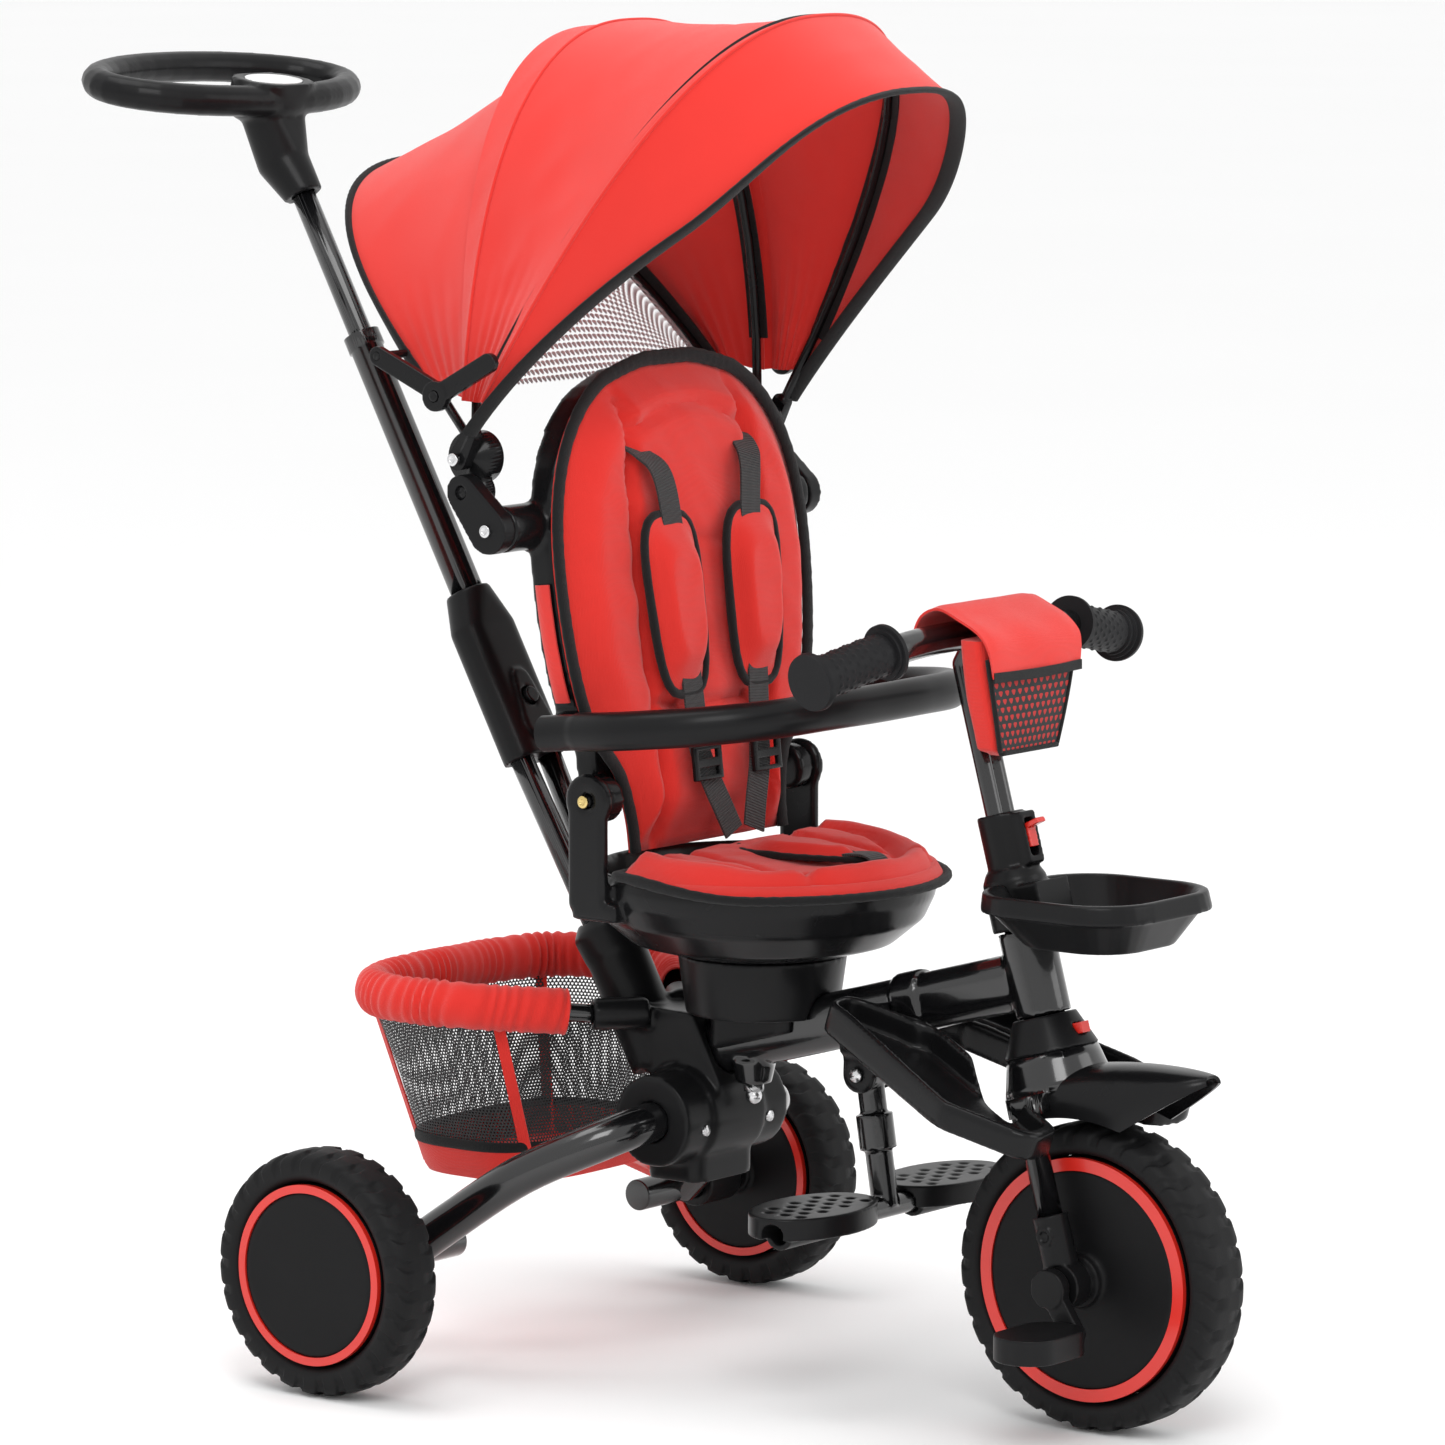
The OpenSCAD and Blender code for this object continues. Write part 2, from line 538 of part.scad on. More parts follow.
// Push button that frees the front fork
module lock_button() color(red) on_steering() translate([21, -5, collar_lo + 8]) cube([12.5, 10, 8]);
module stem_housing() color(matte) on_steering() difference() {
  union() {
    translate([0, 0, stem_lo]) cylinder(r = 23, h = clamp_lo - stem_lo - 8);
    translate([0, 0, clamp_lo - 8]) cylinder(r1 = 23, r2 = 19, h = 8);
    translate([0, 0, clamp_lo]) cylinder(r = 17, h = clamp_hi - clamp_lo);
    translate([10, -9, clamp_lo]) cube([14, 18, 38]);
    translate([6, -20, stem_lo + 4]) cube([26, 40, 26]);
  }
  translate([0, 0, stem_lo - 1]) cylinder(r = steerer_r, h = clamp_lo - stem_lo - 9);
  for (s = [-1, 1]) translate([0, s * 7, clamp_lo]) cylinder(r = 6.5, h = 60);
  translate([13.2, -5.2, clamp_lo + 6]) cube([22, 10.4, 27]);
  translate([19, 0, clamp_lo + 24]) y_cyl(2 + run_gap, -8, 8);
}
module stem_tubes() on_steering() for (s = [-1, 1]) translate([0, s * 7, 0]) {
  translate([0, 0, clamp_lo]) cylinder(r = 6.5, h = 150);
  hull() { $fn = 24;
    translate([0, 0, clamp_lo + 150]) sphere(6.5);
    translate([17.9, 0, clamp_lo + 168]) sphere(6.5);
  }
}
module stem_lever() color(red) on_steering() {
  translate([16.6, -4.8, clamp_lo + 12]) cube([8, 9.6, 16]);
  translate([22, -4.8, clamp_lo + 25]) rotate([0, -12, 0]) cube([13, 9.6, 4]);
  translate([19, 0, clamp_lo + 24]) y_cyl(2, -7.6, 7.6);
}
bar_half_path = smooth([[292, 0, 560], [290, -50, 559.5], [291, -96, 557], [287, -142, 550], [282, -bar_half, 542]], 3);
bar_path = concat([for (i = [len(bar_half_path) - 1:-1:0]) bar_half_path[i]],
  [for (i = [1:len(bar_half_path) - 1]) [bar_half_path[i][0], -bar_half_path[i][1], bar_half_path[i][2]]]);
module handlebar() color(black) {
  sweep(bar_path, oval(bar_r, bar_r, 12));
  stem_tubes();
}
grip_half = [for (i = [7:len(bar_half_path) - 1]) bar_half_path[i]];
grip_tip = grip_half[len(grip_half) - 1];
grip_root = grip_half[0];
module grip_flange(p, ang, r, h) translate(p) rotate([0, 0, ang]) rotate([90, 0, 0]) cylinder(r = r, h = h);
module grips() color(matte) both() difference() {
  union() {
    sweep(concat(grip_half, [grip_tip + [-0.6, -4, -0.9]]), oval(15, 15, 16));
    grip_flange(grip_root, -8, 20, 6);
    grip_flange(grip_tip + [0, 2, 0], -8, 21, 6);
  }
  sweep(bar_path, oval(bar_r + 0.1, bar_r + 0.1, 12));
}
module bar_bag() color(red) difference() {
  union() {
    hull() { $fn = 16;
      translate([322, 0, 548]) cube([26, 114, 30], center = true);
      translate([322, 0, 478]) cube([22, 70, 4], center = true);
    }
    hull() { $fn = 16;
      translate([293, 0, 563]) rotate([90, 0, 0]) cylinder(r = 19, h = 114, center = true);
      translate([325, 0, 552]) cube([20, 114, 20], center = true);
    }
  }
  sweep(bar_path, oval(bar_r + 0.3, bar_r + 0.3, 12));
  translate([292 - 40, -70, 500]) cube([47, 140, 56]);
  on_steering() translate([-10, -14, clamp_lo]) cube([17, 28, 152.3]);
}
tray_z = 385;
module tray_slab(z, w, d, r, dx) translate([392 + dx, 0, z]) slab([w, d, 2], r);
module tray() color(matte) difference() {
  union() {
    hull() { $fn = 32; tray_slab(tray_z - 12, 132, 142, 46, 0); tray_slab(tray_z - 38, 92, 100, 34, 4); }
    hull() { $fn = 32; tray_slab(tray_z - 2, 136, 146, 46, 0); tray_slab(tray_z - 14, 139, 149, 46, 1); }
  }
  hull() { $fn = 32; tray_slab(tray_z + 1, 126, 136, 43, 0); tray_slab(tray_z - 34, 84, 92, 32, 4); }
  on_steering() translate([0, 0, stem_lo - 1]) cylinder(r = 23.2, h = 90);
  on_steering() translate([0, 0, stem_lo - 60]) cylinder(r = 24.5, h = 60);
  on_steering() translate([6, -20, stem_lo + 4]) cube([26, 40, 26]);
}

// ---------- front wheel and crank ----------
crank_dir = 56;
module on_front() translate([front_axle_x, 0, front_tyre_r]) children();
module tyre_front() color(black) on_front() tyre(front_ring_r, front_tyre_r, front_tyre_w);
module rim_front() color(matte) on_front() difference() {
  union() {
    rim(front_ring_r, front_ring_w, front_tyre_w, 0);
    y_cyl(19, 12.8 - leg_y, leg_y - 12.8);
    y_cyl(13, 9.3 - leg_y, leg_y - 9.3);
  }
  y_cyl(6, -80, 80);
}
module rings_front() color(red) on_front() rings(front_ring_r, front_ring_w, front_tyre_w);
module crank() color(black) on_front() {
  y_cyl(6, -leg_y - 14, leg_y + 14);
  for (s = [-1, 1]) rotate([0, (s > 0 ? 180 : 0) + crank_dir, 0]) mirror([0, s > 0 ? 0 : 1, 0]) {
    y_cyl(14, leg_y + 13.4, leg_y + 23);
    translate([0, leg_y + 13.6, -8]) cube([crank_len, 9, 16]);
    translate([crank_len, 0, 0]) y_cyl(8, leg_y + 13.6, leg_y + 22.6);
    translate([crank_len, 0, 0]) y_cyl(4, leg_y + 13.6, leg_y + 92);
  }
}
// Oval pedal on its spindle
function pedal_at(s) = [front_axle_x + (s > 0 ? -1 : 1) * crank_len * cos(crank_dir), s * (leg_y + 24 + 36),
  front_tyre_r - (s > 0 ? -1 : 1) * crank_len * sin(crank_dir)];
module pedal(s) color(matte) translate(pedal_at(s)) difference() {
  translate([0, 0, -9]) linear_extrude(18) rounded(48, 72, 22);
  y_cyl(4 + run_gap, s > 0 ? -40 : -33, s > 0 ? 33 : 40);
}
module pedal_right() pedal(-1);
module pedal_left() pedal(1);

// ---------- folding footrest ----------
post_lean = -9;
post_len = 98;
bar_drop = [post_pivot[0] - post_len * sin(post_lean), 0, post_pivot[2] - post_len * cos(post_lean)];
plate_gap = 20;
module footrest_post() color(black) {
  translate(post_pivot) rotate([0, post_lean, 0]) difference() {
    union() {
      rotate([-90, 0, 0]) translate([0, 0, -9.6]) cylinder(r = 13, h = 19.2);
      translate([0, 0, -post_len]) cylinder(r = 10, h = post_len - 6);
      translate([0, 0, -56]) cylinder(r = 13.5, h = 26);
    }
    y_cyl(3 + run_gap, -20, 20);
  }
  translate(bar_drop) y_cyl(8, -110, 110);
}
// Oval plate with a grid of six-sided holes, hinged on the cross bar
module footplate(s) color(matte) translate(bar_drop) difference() {
  union() {
    translate([-6, s * 79, -4]) linear_extrude(16) scale([1, 1.6]) circle(37, $fn = 64);
    y_cyl(12, s > 0 ? 30 : -128, s > 0 ? 128 : -30);
  }
  y_cyl(8 + run_gap, -200, 200);
  translate([-6, s * 79, 10.5]) for (i = [-3:3], j = [-1:1])
    translate([j * 14 + (i % 2 == 0 ? 0 : 7) - 3, i * 13, 0]) cylinder(r = 4.5, h = 5, $fn = 6);
}
module footplate_right() footplate(-1);
module footplate_left() footplate(1);

// ---------- seat ----------
module seat_pan() color(black) difference() {
  union() {
    translate([swivel_x, 0, 0]) rotate_extrude($fn = 96) polygon([[0, pan_bottom], [62, pan_bottom],
      [96, pan_bottom + 9], [118, pan_bottom + 27], [pan_r - 1, pan_bottom + 44], [pan_r, pan_bottom + 54],
      [pan_r - 2, pan_bottom + 63], [pan_r - 7, pan_bottom + 65], [pan_r - 12, pan_bottom + 44],
      [pan_r - 34, pan_bottom + 36], [0, pan_bottom + 36]]);
    translate([swivel_x, 0, 291]) cylinder(r = 20, h = 30);
    both() for (y = [hinge_in + 8.5]) {
      translate([hinge[0], y, hinge[2]]) y_cyl(20, 0, 8);
      translate([hinge[0] - 18, y, 352]) cube([34, 8, hinge[2] - 352]);
      translate([hinge[0] - 14, hinge_in - 14, 344]) cube([40, 30.5, 14]);
    }
  }
  translate(hinge) y_cyl(5 + run_gap, -140, 140);
}
pad_top = pan_bottom + 72.3;
module seat_pad() color(red) intersection() {
  translate([swivel_x, 0, 0]) rotate_extrude($fn = 96) polygon([[0, pan_bottom + 36.3], [pan_r - 34.1, pan_bottom + 36.3],
    [pan_r - 14, pan_bottom + 43.9], [pan_r - 14, pan_bottom + 65.4], [pan_r + 1, pan_bottom + 65.4],
    [pan_r + 3, pan_bottom + 69], [pan_r - 3, pad_top], [0, pad_top]]);
  translate([62.3, -150, 0]) cube([200, 300, 500]);
}
module crotch_pad() color(red) {
  hull() { $fn = 24;
    translate([96, 0, pan_bottom + 72.6]) cylinder(r = 22, h = 12);
    translate([176, 0, pan_bottom + 72.6]) cylinder(r = 12, h = 10);
  }
  translate([186, -10, pan_bottom + 72.6]) cube([18, 20, 3]);
}
// Half outline of the backrest: half width against height over the hinge
back_side = [[94, -14], [98, 16], [124, 50], [138, 96], [144, 160], [140, 212], [124, 256], [94, 290], [50, 309]];
function back_outline(grow) = let (s = smooth(back_side, 3)) concat(
  [for (p = s) [p[0] + grow, p[1] + grow * p[1] / 320]], [[0, 314 + grow]],
  [for (i = [len(s) - 1:-1:0]) [-s[i][0] - grow, s[i][1] + grow * s[i][1] / 320]]);
module back_slab(x0, x1, grow, z0 = -30, z1 = 330) on_back() translate([x0, 0, 0]) rotate([90, 0, 90])
  linear_extrude(x1 - x0) intersection() {
    polygon(back_outline(grow));
    translate([-200, z0]) square([400, z1 - z0]);
  }
module back_shell() color(black) difference() {
  union() {
    back_slab(-shell_t, 0, -2, 6);
    both() translate([hinge[0], hinge_in - 8, hinge[2]]) y_cyl(17, 0, 16.2);
    both() translate(hinge) y_cyl(5, hinge_in, hinge_in + 18);
    both() on_back() translate([-20, hinge_in - 22, 0]) cube([18, 22, 60]);
    both() translate([barrel[0], 0, barrel[2]]) y_cyl(17, 96, 173.5);
    both() on_back() translate([0, 0, 40]) linear_extrude(24)
      polygon([[-20, 110], [0, 110], [0, 128], [22, 128], [22, guard_half - 17.4], [-20, guard_half - 17.4]]);
  }
  both() translate([barrel[0], 0, barrel[2]]) y_cyl(8 + run_gap, 150, 180);
  both() translate(guard_pin) y_cyl(4 + run_gap, guard_half - 38, guard_half);
}
module back_pad() color(red) back_slab(0, pad_t, -2, 22);
module back_pocket() color(red) difference() {
  back_slab(-shell_t - 3, -4, 2, 72, 158);
  back_slab(-shell_t, 2, -1.9, -30, 330);
}
module harness() color(matte) on_back() {
  both() {
    translate([pad_t + 0.3, 36, 22]) cube([3, 22, 228]);
    translate([pad_t + 3.3, 20, 52]) rotate([90, 0, 90]) linear_extrude(18) translate([28, 65]) rounded(56, 130, 22);
    translate([pad_t + 3.3, 34, 8]) cube([9, 28, 26]);
  }
}
// Safety bar: two ends pinned in the backrest brackets and a rounded front
guard_z = 484;
guard_pin = [42, 0, 483];
guard_half_path = smooth([[14, -guard_half, guard_z - 2], [26, -guard_half, guard_z - 1],
  [52, -guard_half, guard_z + 2], [100, -guard_half - 2, guard_z + 7], [150, 16 - guard_half, guard_z + 12],
  [186, 56 - guard_half, guard_z + 16], [198, -52, guard_z + 18], [200, 0, guard_z + 18]], 3);
guard_path = concat(guard_half_path, [for (i = [1:len(guard_half_path) - 1]) mirror_y(guard_half_path)[i]]);
module guard_bar() color(matte) {
  difference() {
    sweep([for (i = [1:len(guard_path) - 2]) guard_path[i]], oval(guard_r - 2, guard_r, 12));
    both() translate([-40, 0, 400]) cube([160, guard_half - 17, 200]);
  }
  both() translate(guard_pin) y_cyl(4, guard_half - 35, guard_half - 6);
}

// ---------- canopy ----------
function bow_pt(ang, len_, w, t) = let (e = 0.82, y = w * sign(cos(t)) * pow(abs(cos(t)), e), s = len_ * pow(sin(t), e))
  bow_pivot + [s * cos(ang), -y, s * sin(ang)];
function bow_path(ang, len_, w, t0 = 4) = [for (i = [0:24]) bow_pt(ang, len_, w, t0 + (180 - 2 * t0) * i / 24)];
w_rear = 166;
w_mid = 174;
w_front = 190;
// Row of points across the canopy, a share v of the way from one bow to the next
function mix_rows(a, b, v) = [for (i = [0:len(a) - 1]) a[i] * (1 - v) + b[i] * v];
module canopy_arms() color(matte) both() difference() {
  union() {
    hull() { $fn = 32;
      translate([barrel[0], 174, barrel[2]]) y_cyl(17, 0, 13);
      translate([arm_top[0], 174, arm_top[2]]) y_cyl(13, 0, 13);
    }
    translate([barrel[0], 0, barrel[2]]) y_cyl(8, 152, 176);
  }
  translate([arm_top[0], 0, arm_top[2]]) y_cyl(5 + run_gap, 170, 190);
}
module canopy_frame() color(matte) {
  both() {
    translate([arm_top[0], 0, arm_top[2]]) y_cyl(13, 163, 173.5);
    translate([arm_top[0], 0, arm_top[2]]) y_cyl(5, 170, 186);
    translate([bow_pivot[0], 0, bow_pivot[2]]) y_cyl(19, 157, 173.5);
    translate([arm_top[0] - 10, 163, arm_top[2]]) cube([20, 10.5, 26]);
    translate([bow_pivot[0], 0, bow_pivot[2]]) y_cyl(3, 172, 190);
    translate([link_rear_pin[0], 0, link_rear_pin[2]]) y_cyl(3, w_rear - 8, link_y + link_t);
  }
  sweep(bow_path(ang_rear, bow_rear - 6, w_rear - 6, 1.5), oval(3.5, 3.5, 8), [sin(ang_rear), 0, -cos(ang_rear)]);
  sweep(bow_path(ang_mid + 2, bow_mid - 9.5, w_mid - 8.5, 1.5), oval(3.5, 3.5, 8), [sin(ang_mid + 2), 0, -cos(ang_mid + 2)]);
}
module canopy_rear_cloth() color(red) {
  t0 = 6;
  a = bow_path(ang_rear, bow_rear, w_rear, t0);
  b = bow_path(ang_mid + 1, bow_mid, w_mid, t0);
  ai = bow_path(ang_rear, bow_rear - cloth_t, w_rear - cloth_t, t0);
  bi = bow_path(ang_mid + 1, bow_mid - cloth_t, w_mid - cloth_t, t0);
  difference() {
    grid_shell([for (k = [0:4]) mix_rows(a, b, k / 4)], [for (k = [0:4]) mix_rows(ai, bi, k / 4)]);
    both() translate([link_rear_pin[0], 0, link_rear_pin[2]]) y_cyl(3.3, w_rear - 20, link_y);
  }
}
module canopy_front_bow() color(matte) {
  sweep(bow_path(ang_front, bow_front - 7, w_front - 6, 1.5), oval(3.5, 3.5, 8), [sin(ang_front), 0, -cos(ang_front)]);
  both() difference() {
    hull() {
      translate([bow_pivot[0], 0, bow_pivot[2]]) y_cyl(8, 178, 187);
      translate(bow_pivot + [20 * cos(ang_front), 0, 20 * sin(ang_front)]) y_cyl(6, 178, 187);
    }
    translate([bow_pivot[0], 0, bow_pivot[2]]) y_cyl(3 + run_gap, 170, 192);
  }
}
// The front cloth runs from the middle bow over the front bow to the hem of the visor
function hem_path(grow) = [for (i = [0:24]) let (t = 6 + 168 * i / 24, f = sin(t),
    a = ang_front - (ang_front - ang_hem) * pow(f, 0.6) + hem_lift * pow(f, 4),
    s = (hem_len - grow) * (0.35 * pow(f, 0.82) + 0.65 * pow(f, 1.6)),
    y = (w_front + 5 * f - grow) * sign(cos(t)) * pow(abs(cos(t)), 0.82))
  bow_pivot + [s * cos(a), -y, s * sin(a)]];
module canopy_front_cloth() color(red) {
  t0 = 6;
  a = bow_path(ang_mid, bow_mid + 5, w_mid + 8, t0);
  b = bow_path(ang_front, bow_front, w_front, t0);
  ai = bow_path(ang_mid, bow_mid + 5 - cloth_t, w_mid + 8 - cloth_t, t0);
  bi = bow_path(ang_front, bow_front - cloth_t, w_front - cloth_t, t0);
  grid_shell(concat([for (k = [0:3]) mix_rows(a, b, k / 4)], [for (k = [0:2]) mix_rows(b, hem_path(0), k / 2)]),
    concat([for (k = [0:3]) mix_rows(ai, bi, k / 4)], [for (k = [0:2]) mix_rows(bi, hem_path(cloth_t), k / 2)]));
}

// Window of net in the rear arch, inside the rear bow
module canopy_window() color(matte) translate(bow_pivot) rotate([0, -ang_rear, 0]) translate([0, 0, -0.75])
  linear_extrude(1.5) polygon([for (i = [0:24]) let (t = 8 + 164 * i / 24, e = 0.82)
    [(bow_rear - 10) * pow(sin(t), e), (10 - w_rear) * sign(cos(t)) * pow(abs(cos(t)), e)]]);
// Side stretchers: a rear link on the rear bow, and a front link on the knob between them
link_y = 193.5;
link_t = 6;
link_rear_pin = bow_pivot + [96 * cos(ang_rear), 0, 96 * sin(ang_rear)];
link_front_pin = bow_pivot + [84 * cos(ang_front), 0, 84 * sin(ang_front)];
knob = [-40, 0, 724];
module link_bar(a, b, y, r) hull() for (p = [a, b]) translate([p[0], 0, p[2]]) y_cyl(r, y, y + link_t);
module canopy_link_rear() color(matte) both() difference() {
  union() {
    hull() { $fn = 32; link_bar(link_rear_pin, knob, link_y, 7); }
    translate([knob[0], 0, knob[2]]) y_cyl(4, link_y, link_y + 2 * link_t + 2);
  }
  translate([link_rear_pin[0], 0, link_rear_pin[2]]) y_cyl(3 + run_gap, link_y - 1, link_y + link_t + 1);
}
module canopy_link_front() color(matte) both() difference() {
  union() {
    hull() { $fn = 32; link_bar(knob, link_front_pin, link_y + link_t + 0.4, 7); }
    translate([knob[0], 0, knob[2]]) y_cyl(11, link_y + link_t + 0.4, link_y + 2 * link_t + 1);
  }
  translate([knob[0], 0, knob[2]]) y_cyl(4 + run_gap, link_y, link_y + 30);
}

// ---------- drawing ----------
main_frame();
rear_housing();
rear_axle_tube();
turntable();
foot_troughs();
pole_lower();
pole_sleeve();
pole_mid();
pole_button();
frame_screws();
basket_hoop();
basket_sleeve();
basket_net();
brake_housing();
brake_pedal();
pole_upper();
push_handle();
handle_badge();
tyre_rear_right();
tyre_rear_left();
rim_rear_right();
rim_rear_left();
rings_rear_right();
rings_rear_left();
fork();
fork_dropouts();
fender();
fork_collar();
lock_button();
stem_housing();
stem_lever();
handlebar();
grips();
bar_bag();
tray();
tyre_front();
rim_front();
rings_front();
crank();
pedal_right();
pedal_left();
footrest_post();
footplate_right();
footplate_left();
seat_pan();
seat_pad();
crotch_pad();
back_shell();
back_pad();
back_pocket();
harness();
guard_bar();
canopy_arms();
canopy_frame();
canopy_rear_cloth();
canopy_window();
canopy_front_bow();
canopy_front_cloth();
canopy_link_rear();
canopy_link_front();
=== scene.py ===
"""Children's tricycle: the finished look of every piece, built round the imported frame.

Sizes are in millimetres inside the classes and become metres when a mesh is made.
+X is forward, +Y is the child's left, +Z is up.
"""

import json
import logging
import math
from dataclasses import dataclass
from enum import Enum
from typing import Callable, Sequence

import bpy
import numpy as np
from mathutils import Matrix, Vector


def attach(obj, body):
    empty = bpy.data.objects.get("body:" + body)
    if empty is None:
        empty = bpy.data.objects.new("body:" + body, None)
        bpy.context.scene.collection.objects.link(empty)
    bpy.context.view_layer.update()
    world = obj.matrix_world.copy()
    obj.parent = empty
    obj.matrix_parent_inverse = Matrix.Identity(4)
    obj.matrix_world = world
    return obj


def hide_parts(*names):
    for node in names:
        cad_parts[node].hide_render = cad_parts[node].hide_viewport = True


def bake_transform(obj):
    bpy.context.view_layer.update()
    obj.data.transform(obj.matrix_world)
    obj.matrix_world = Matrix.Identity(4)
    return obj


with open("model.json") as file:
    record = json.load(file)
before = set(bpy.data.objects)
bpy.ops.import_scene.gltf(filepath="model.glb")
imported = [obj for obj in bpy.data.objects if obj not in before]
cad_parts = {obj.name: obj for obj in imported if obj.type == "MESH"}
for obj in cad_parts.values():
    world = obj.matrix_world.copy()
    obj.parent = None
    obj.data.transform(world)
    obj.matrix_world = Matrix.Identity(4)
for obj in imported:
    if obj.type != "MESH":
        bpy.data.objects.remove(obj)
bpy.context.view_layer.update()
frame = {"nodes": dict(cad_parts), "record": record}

MM = 0.001
LOG = logging.getLogger("tricycle")
Obj = bpy.types.Object
Material = bpy.types.Material
Colour = tuple[float, float, float]


# ---------- finishes ----------
class Coordinates(Enum):
    """Where a pattern takes its place from."""

    OBJECT = "Object"
    UV = "UV"


class Shader:
    """A node tree under one principled shader, with short ways to add nodes."""

    def __init__(self, name: str, where: Coordinates = Coordinates.OBJECT) -> None:
        """Makes the material and its coordinate source.

        Args:
            name: the material's name.
            where: the coordinates that the patterns read.
        """
        self.material = bpy.data.materials.new(name)
        self.material.use_nodes = True
        self.tree = self.material.node_tree
        self.bsdf = self.tree.nodes["Principled BSDF"]
        self.place = self.tree.nodes.new("ShaderNodeTexCoord").outputs[where.value]

    def add(self, kind: str, inputs: dict | None = None, **settings) -> bpy.types.Node:
        """Adds a node.

        Args:
            kind: the node type without its ShaderNode prefix.
            inputs: values or sockets by input name or index.
            **settings: attributes of the node.

        Returns:
            The new node.
        """
        node = self.tree.nodes.new("ShaderNode" + kind)
        for key, value in settings.items():
            setattr(node, key, value)
        for key, value in (inputs or {}).items():
            if isinstance(value, bpy.types.NodeSocket):
                self.tree.links.new(value, node.inputs[key])
            else:
                node.inputs[key].default_value = value
        return node

    def math(self, operation: str, a, b=0.0, c=0.0) -> bpy.types.NodeSocket:
        """Adds a math node on up to three values or sockets and returns its result."""
        return self.add("Math", {0: a, 1: b, 2: c}, operation=operation).outputs[0]

    def noise(self, scale: float, detail: float = 2.0) -> bpy.types.NodeSocket:
        """Returns the value of a noise of that many lumps in a metre."""
        return self.add("TexNoise", {"Vector": self.place, "Scale": scale, "Detail": detail}).outputs[0]

    def bands(self, scale: float, direction: str, warp: float = 0.0) -> bpy.types.NodeSocket:
        """Returns a sine band pattern along one axis."""
        return self.add(
            "TexWave",
            {"Vector": self.place, "Scale": scale, "Distortion": warp, "Detail": 1.0},
            wave_type="BANDS",
            bands_direction=direction,
        ).outputs["Fac"]

    def spread(self, value, low: float, high: float) -> bpy.types.NodeSocket:
        """Maps a value from 0..1 to low..high."""
        return self.add("MapRange", {0: value, 3: low, 4: high}).outputs[0]

    def tint(self, factor, first: Colour, second: Colour) -> bpy.types.NodeSocket:
        """Mixes two colours by a value.

        Args:
            factor: 0 for the first colour, 1 for the second.
            first: a linear colour.
            second: a linear colour.

        Returns:
            The mixed colour.
        """
        ramp = self.add("ValToRGB", {0: factor})
        ramp.color_ramp.elements[0].color = (*first, 1.0)
        ramp.color_ramp.elements[1].color = (*second, 1.0)
        return ramp.outputs[0]

    def relief(self, height, strength: float, distance: float) -> None:
        """Joins a height to the shader's normal.

        Args:
            height: the height socket.
            strength: how much of the relief shows.
            distance: the height of the relief in metres.
        """
        bump = self.add("Bump", {"Height": height, "Strength": strength, "Distance": distance})
        self.tree.links.new(bump.outputs[0], self.bsdf.inputs["Normal"])

    def to(self, name: str, value) -> None:
        """Sets one input of the principled shader to a socket or a constant."""
        if isinstance(value, bpy.types.NodeSocket):
            self.tree.links.new(value, self.bsdf.inputs[name])
        else:
            self.bsdf.inputs[name].default_value = value


def shade(colour: Colour, factor: float) -> Colour:
    """Returns a colour made darker or lighter by a factor."""
    return tuple(min(1.0, c * factor) for c in colour)


@dataclass(frozen=True)
class Moulded:
    """Moulded plastic or rubber with a fine spark-eroded grain."""

    name: str
    colour: Colour
    roughness: float = 0.42
    grain: float = 1100.0
    depth: float = 0.25
    mottle: float = 0.25
    coat: float = 0.0
    shine: float = 0.14

    def make(self) -> Material:
        """Builds the material and returns it."""
        s = Shader(self.name)
        broad = s.noise(9.0, 3.0)
        s.to(
            "Base Color",
            s.tint(broad, shade(self.colour, 1 - self.mottle), shade(self.colour, 1 + self.mottle))
        )
        s.to("Roughness", s.spread(s.noise(34.0, 4.0), self.roughness - 0.07, self.roughness + 0.09))
        s.to("Specular IOR Level", self.shine)
        s.to("Coat Weight", self.coat)
        s.to("Coat Roughness", 0.16)
        s.relief(s.noise(self.grain, 2.0), self.depth, 0.0003)
        return s.material


@dataclass(frozen=True)
class Lacquer:
    """Gloss paint on steel tube, with a faint orange peel."""

    name: str
    colour: Colour
    roughness: float = 0.16

    def make(self) -> Material:
        """Builds the material and returns it."""
        s = Shader(self.name)
        s.to("Base Color", s.tint(s.noise(12.0), shade(self.colour, 0.8), shade(self.colour, 1.2)))
        s.to("Roughness", s.spread(s.noise(60.0, 4.0), self.roughness - 0.05, self.roughness + 0.08))
        s.to("Coat Weight", 0.5)
        s.to("Coat Roughness", 0.06)
        s.relief(s.noise(190.0, 2.0), 0.12, 0.0004)
        return s.material


@dataclass(frozen=True)
class Plated:
    """Bright plated metal with a fine noise grain."""

    name: str
    colour: Colour
    roughness: float = 0.22

    def make(self) -> Material:
        """Builds the material and returns it."""
        s = Shader(self.name)
        s.to("Metallic", 1.0)
        s.to("Base Color", s.tint(s.noise(80.0), shade(self.colour, 0.85), self.colour))
        s.to("Roughness", s.spread(s.noise(300.0, 3.0), self.roughness - 0.08, self.roughness + 0.12))
        s.relief(s.noise(1500.0), 0.15, 0.0002)
        return s.material


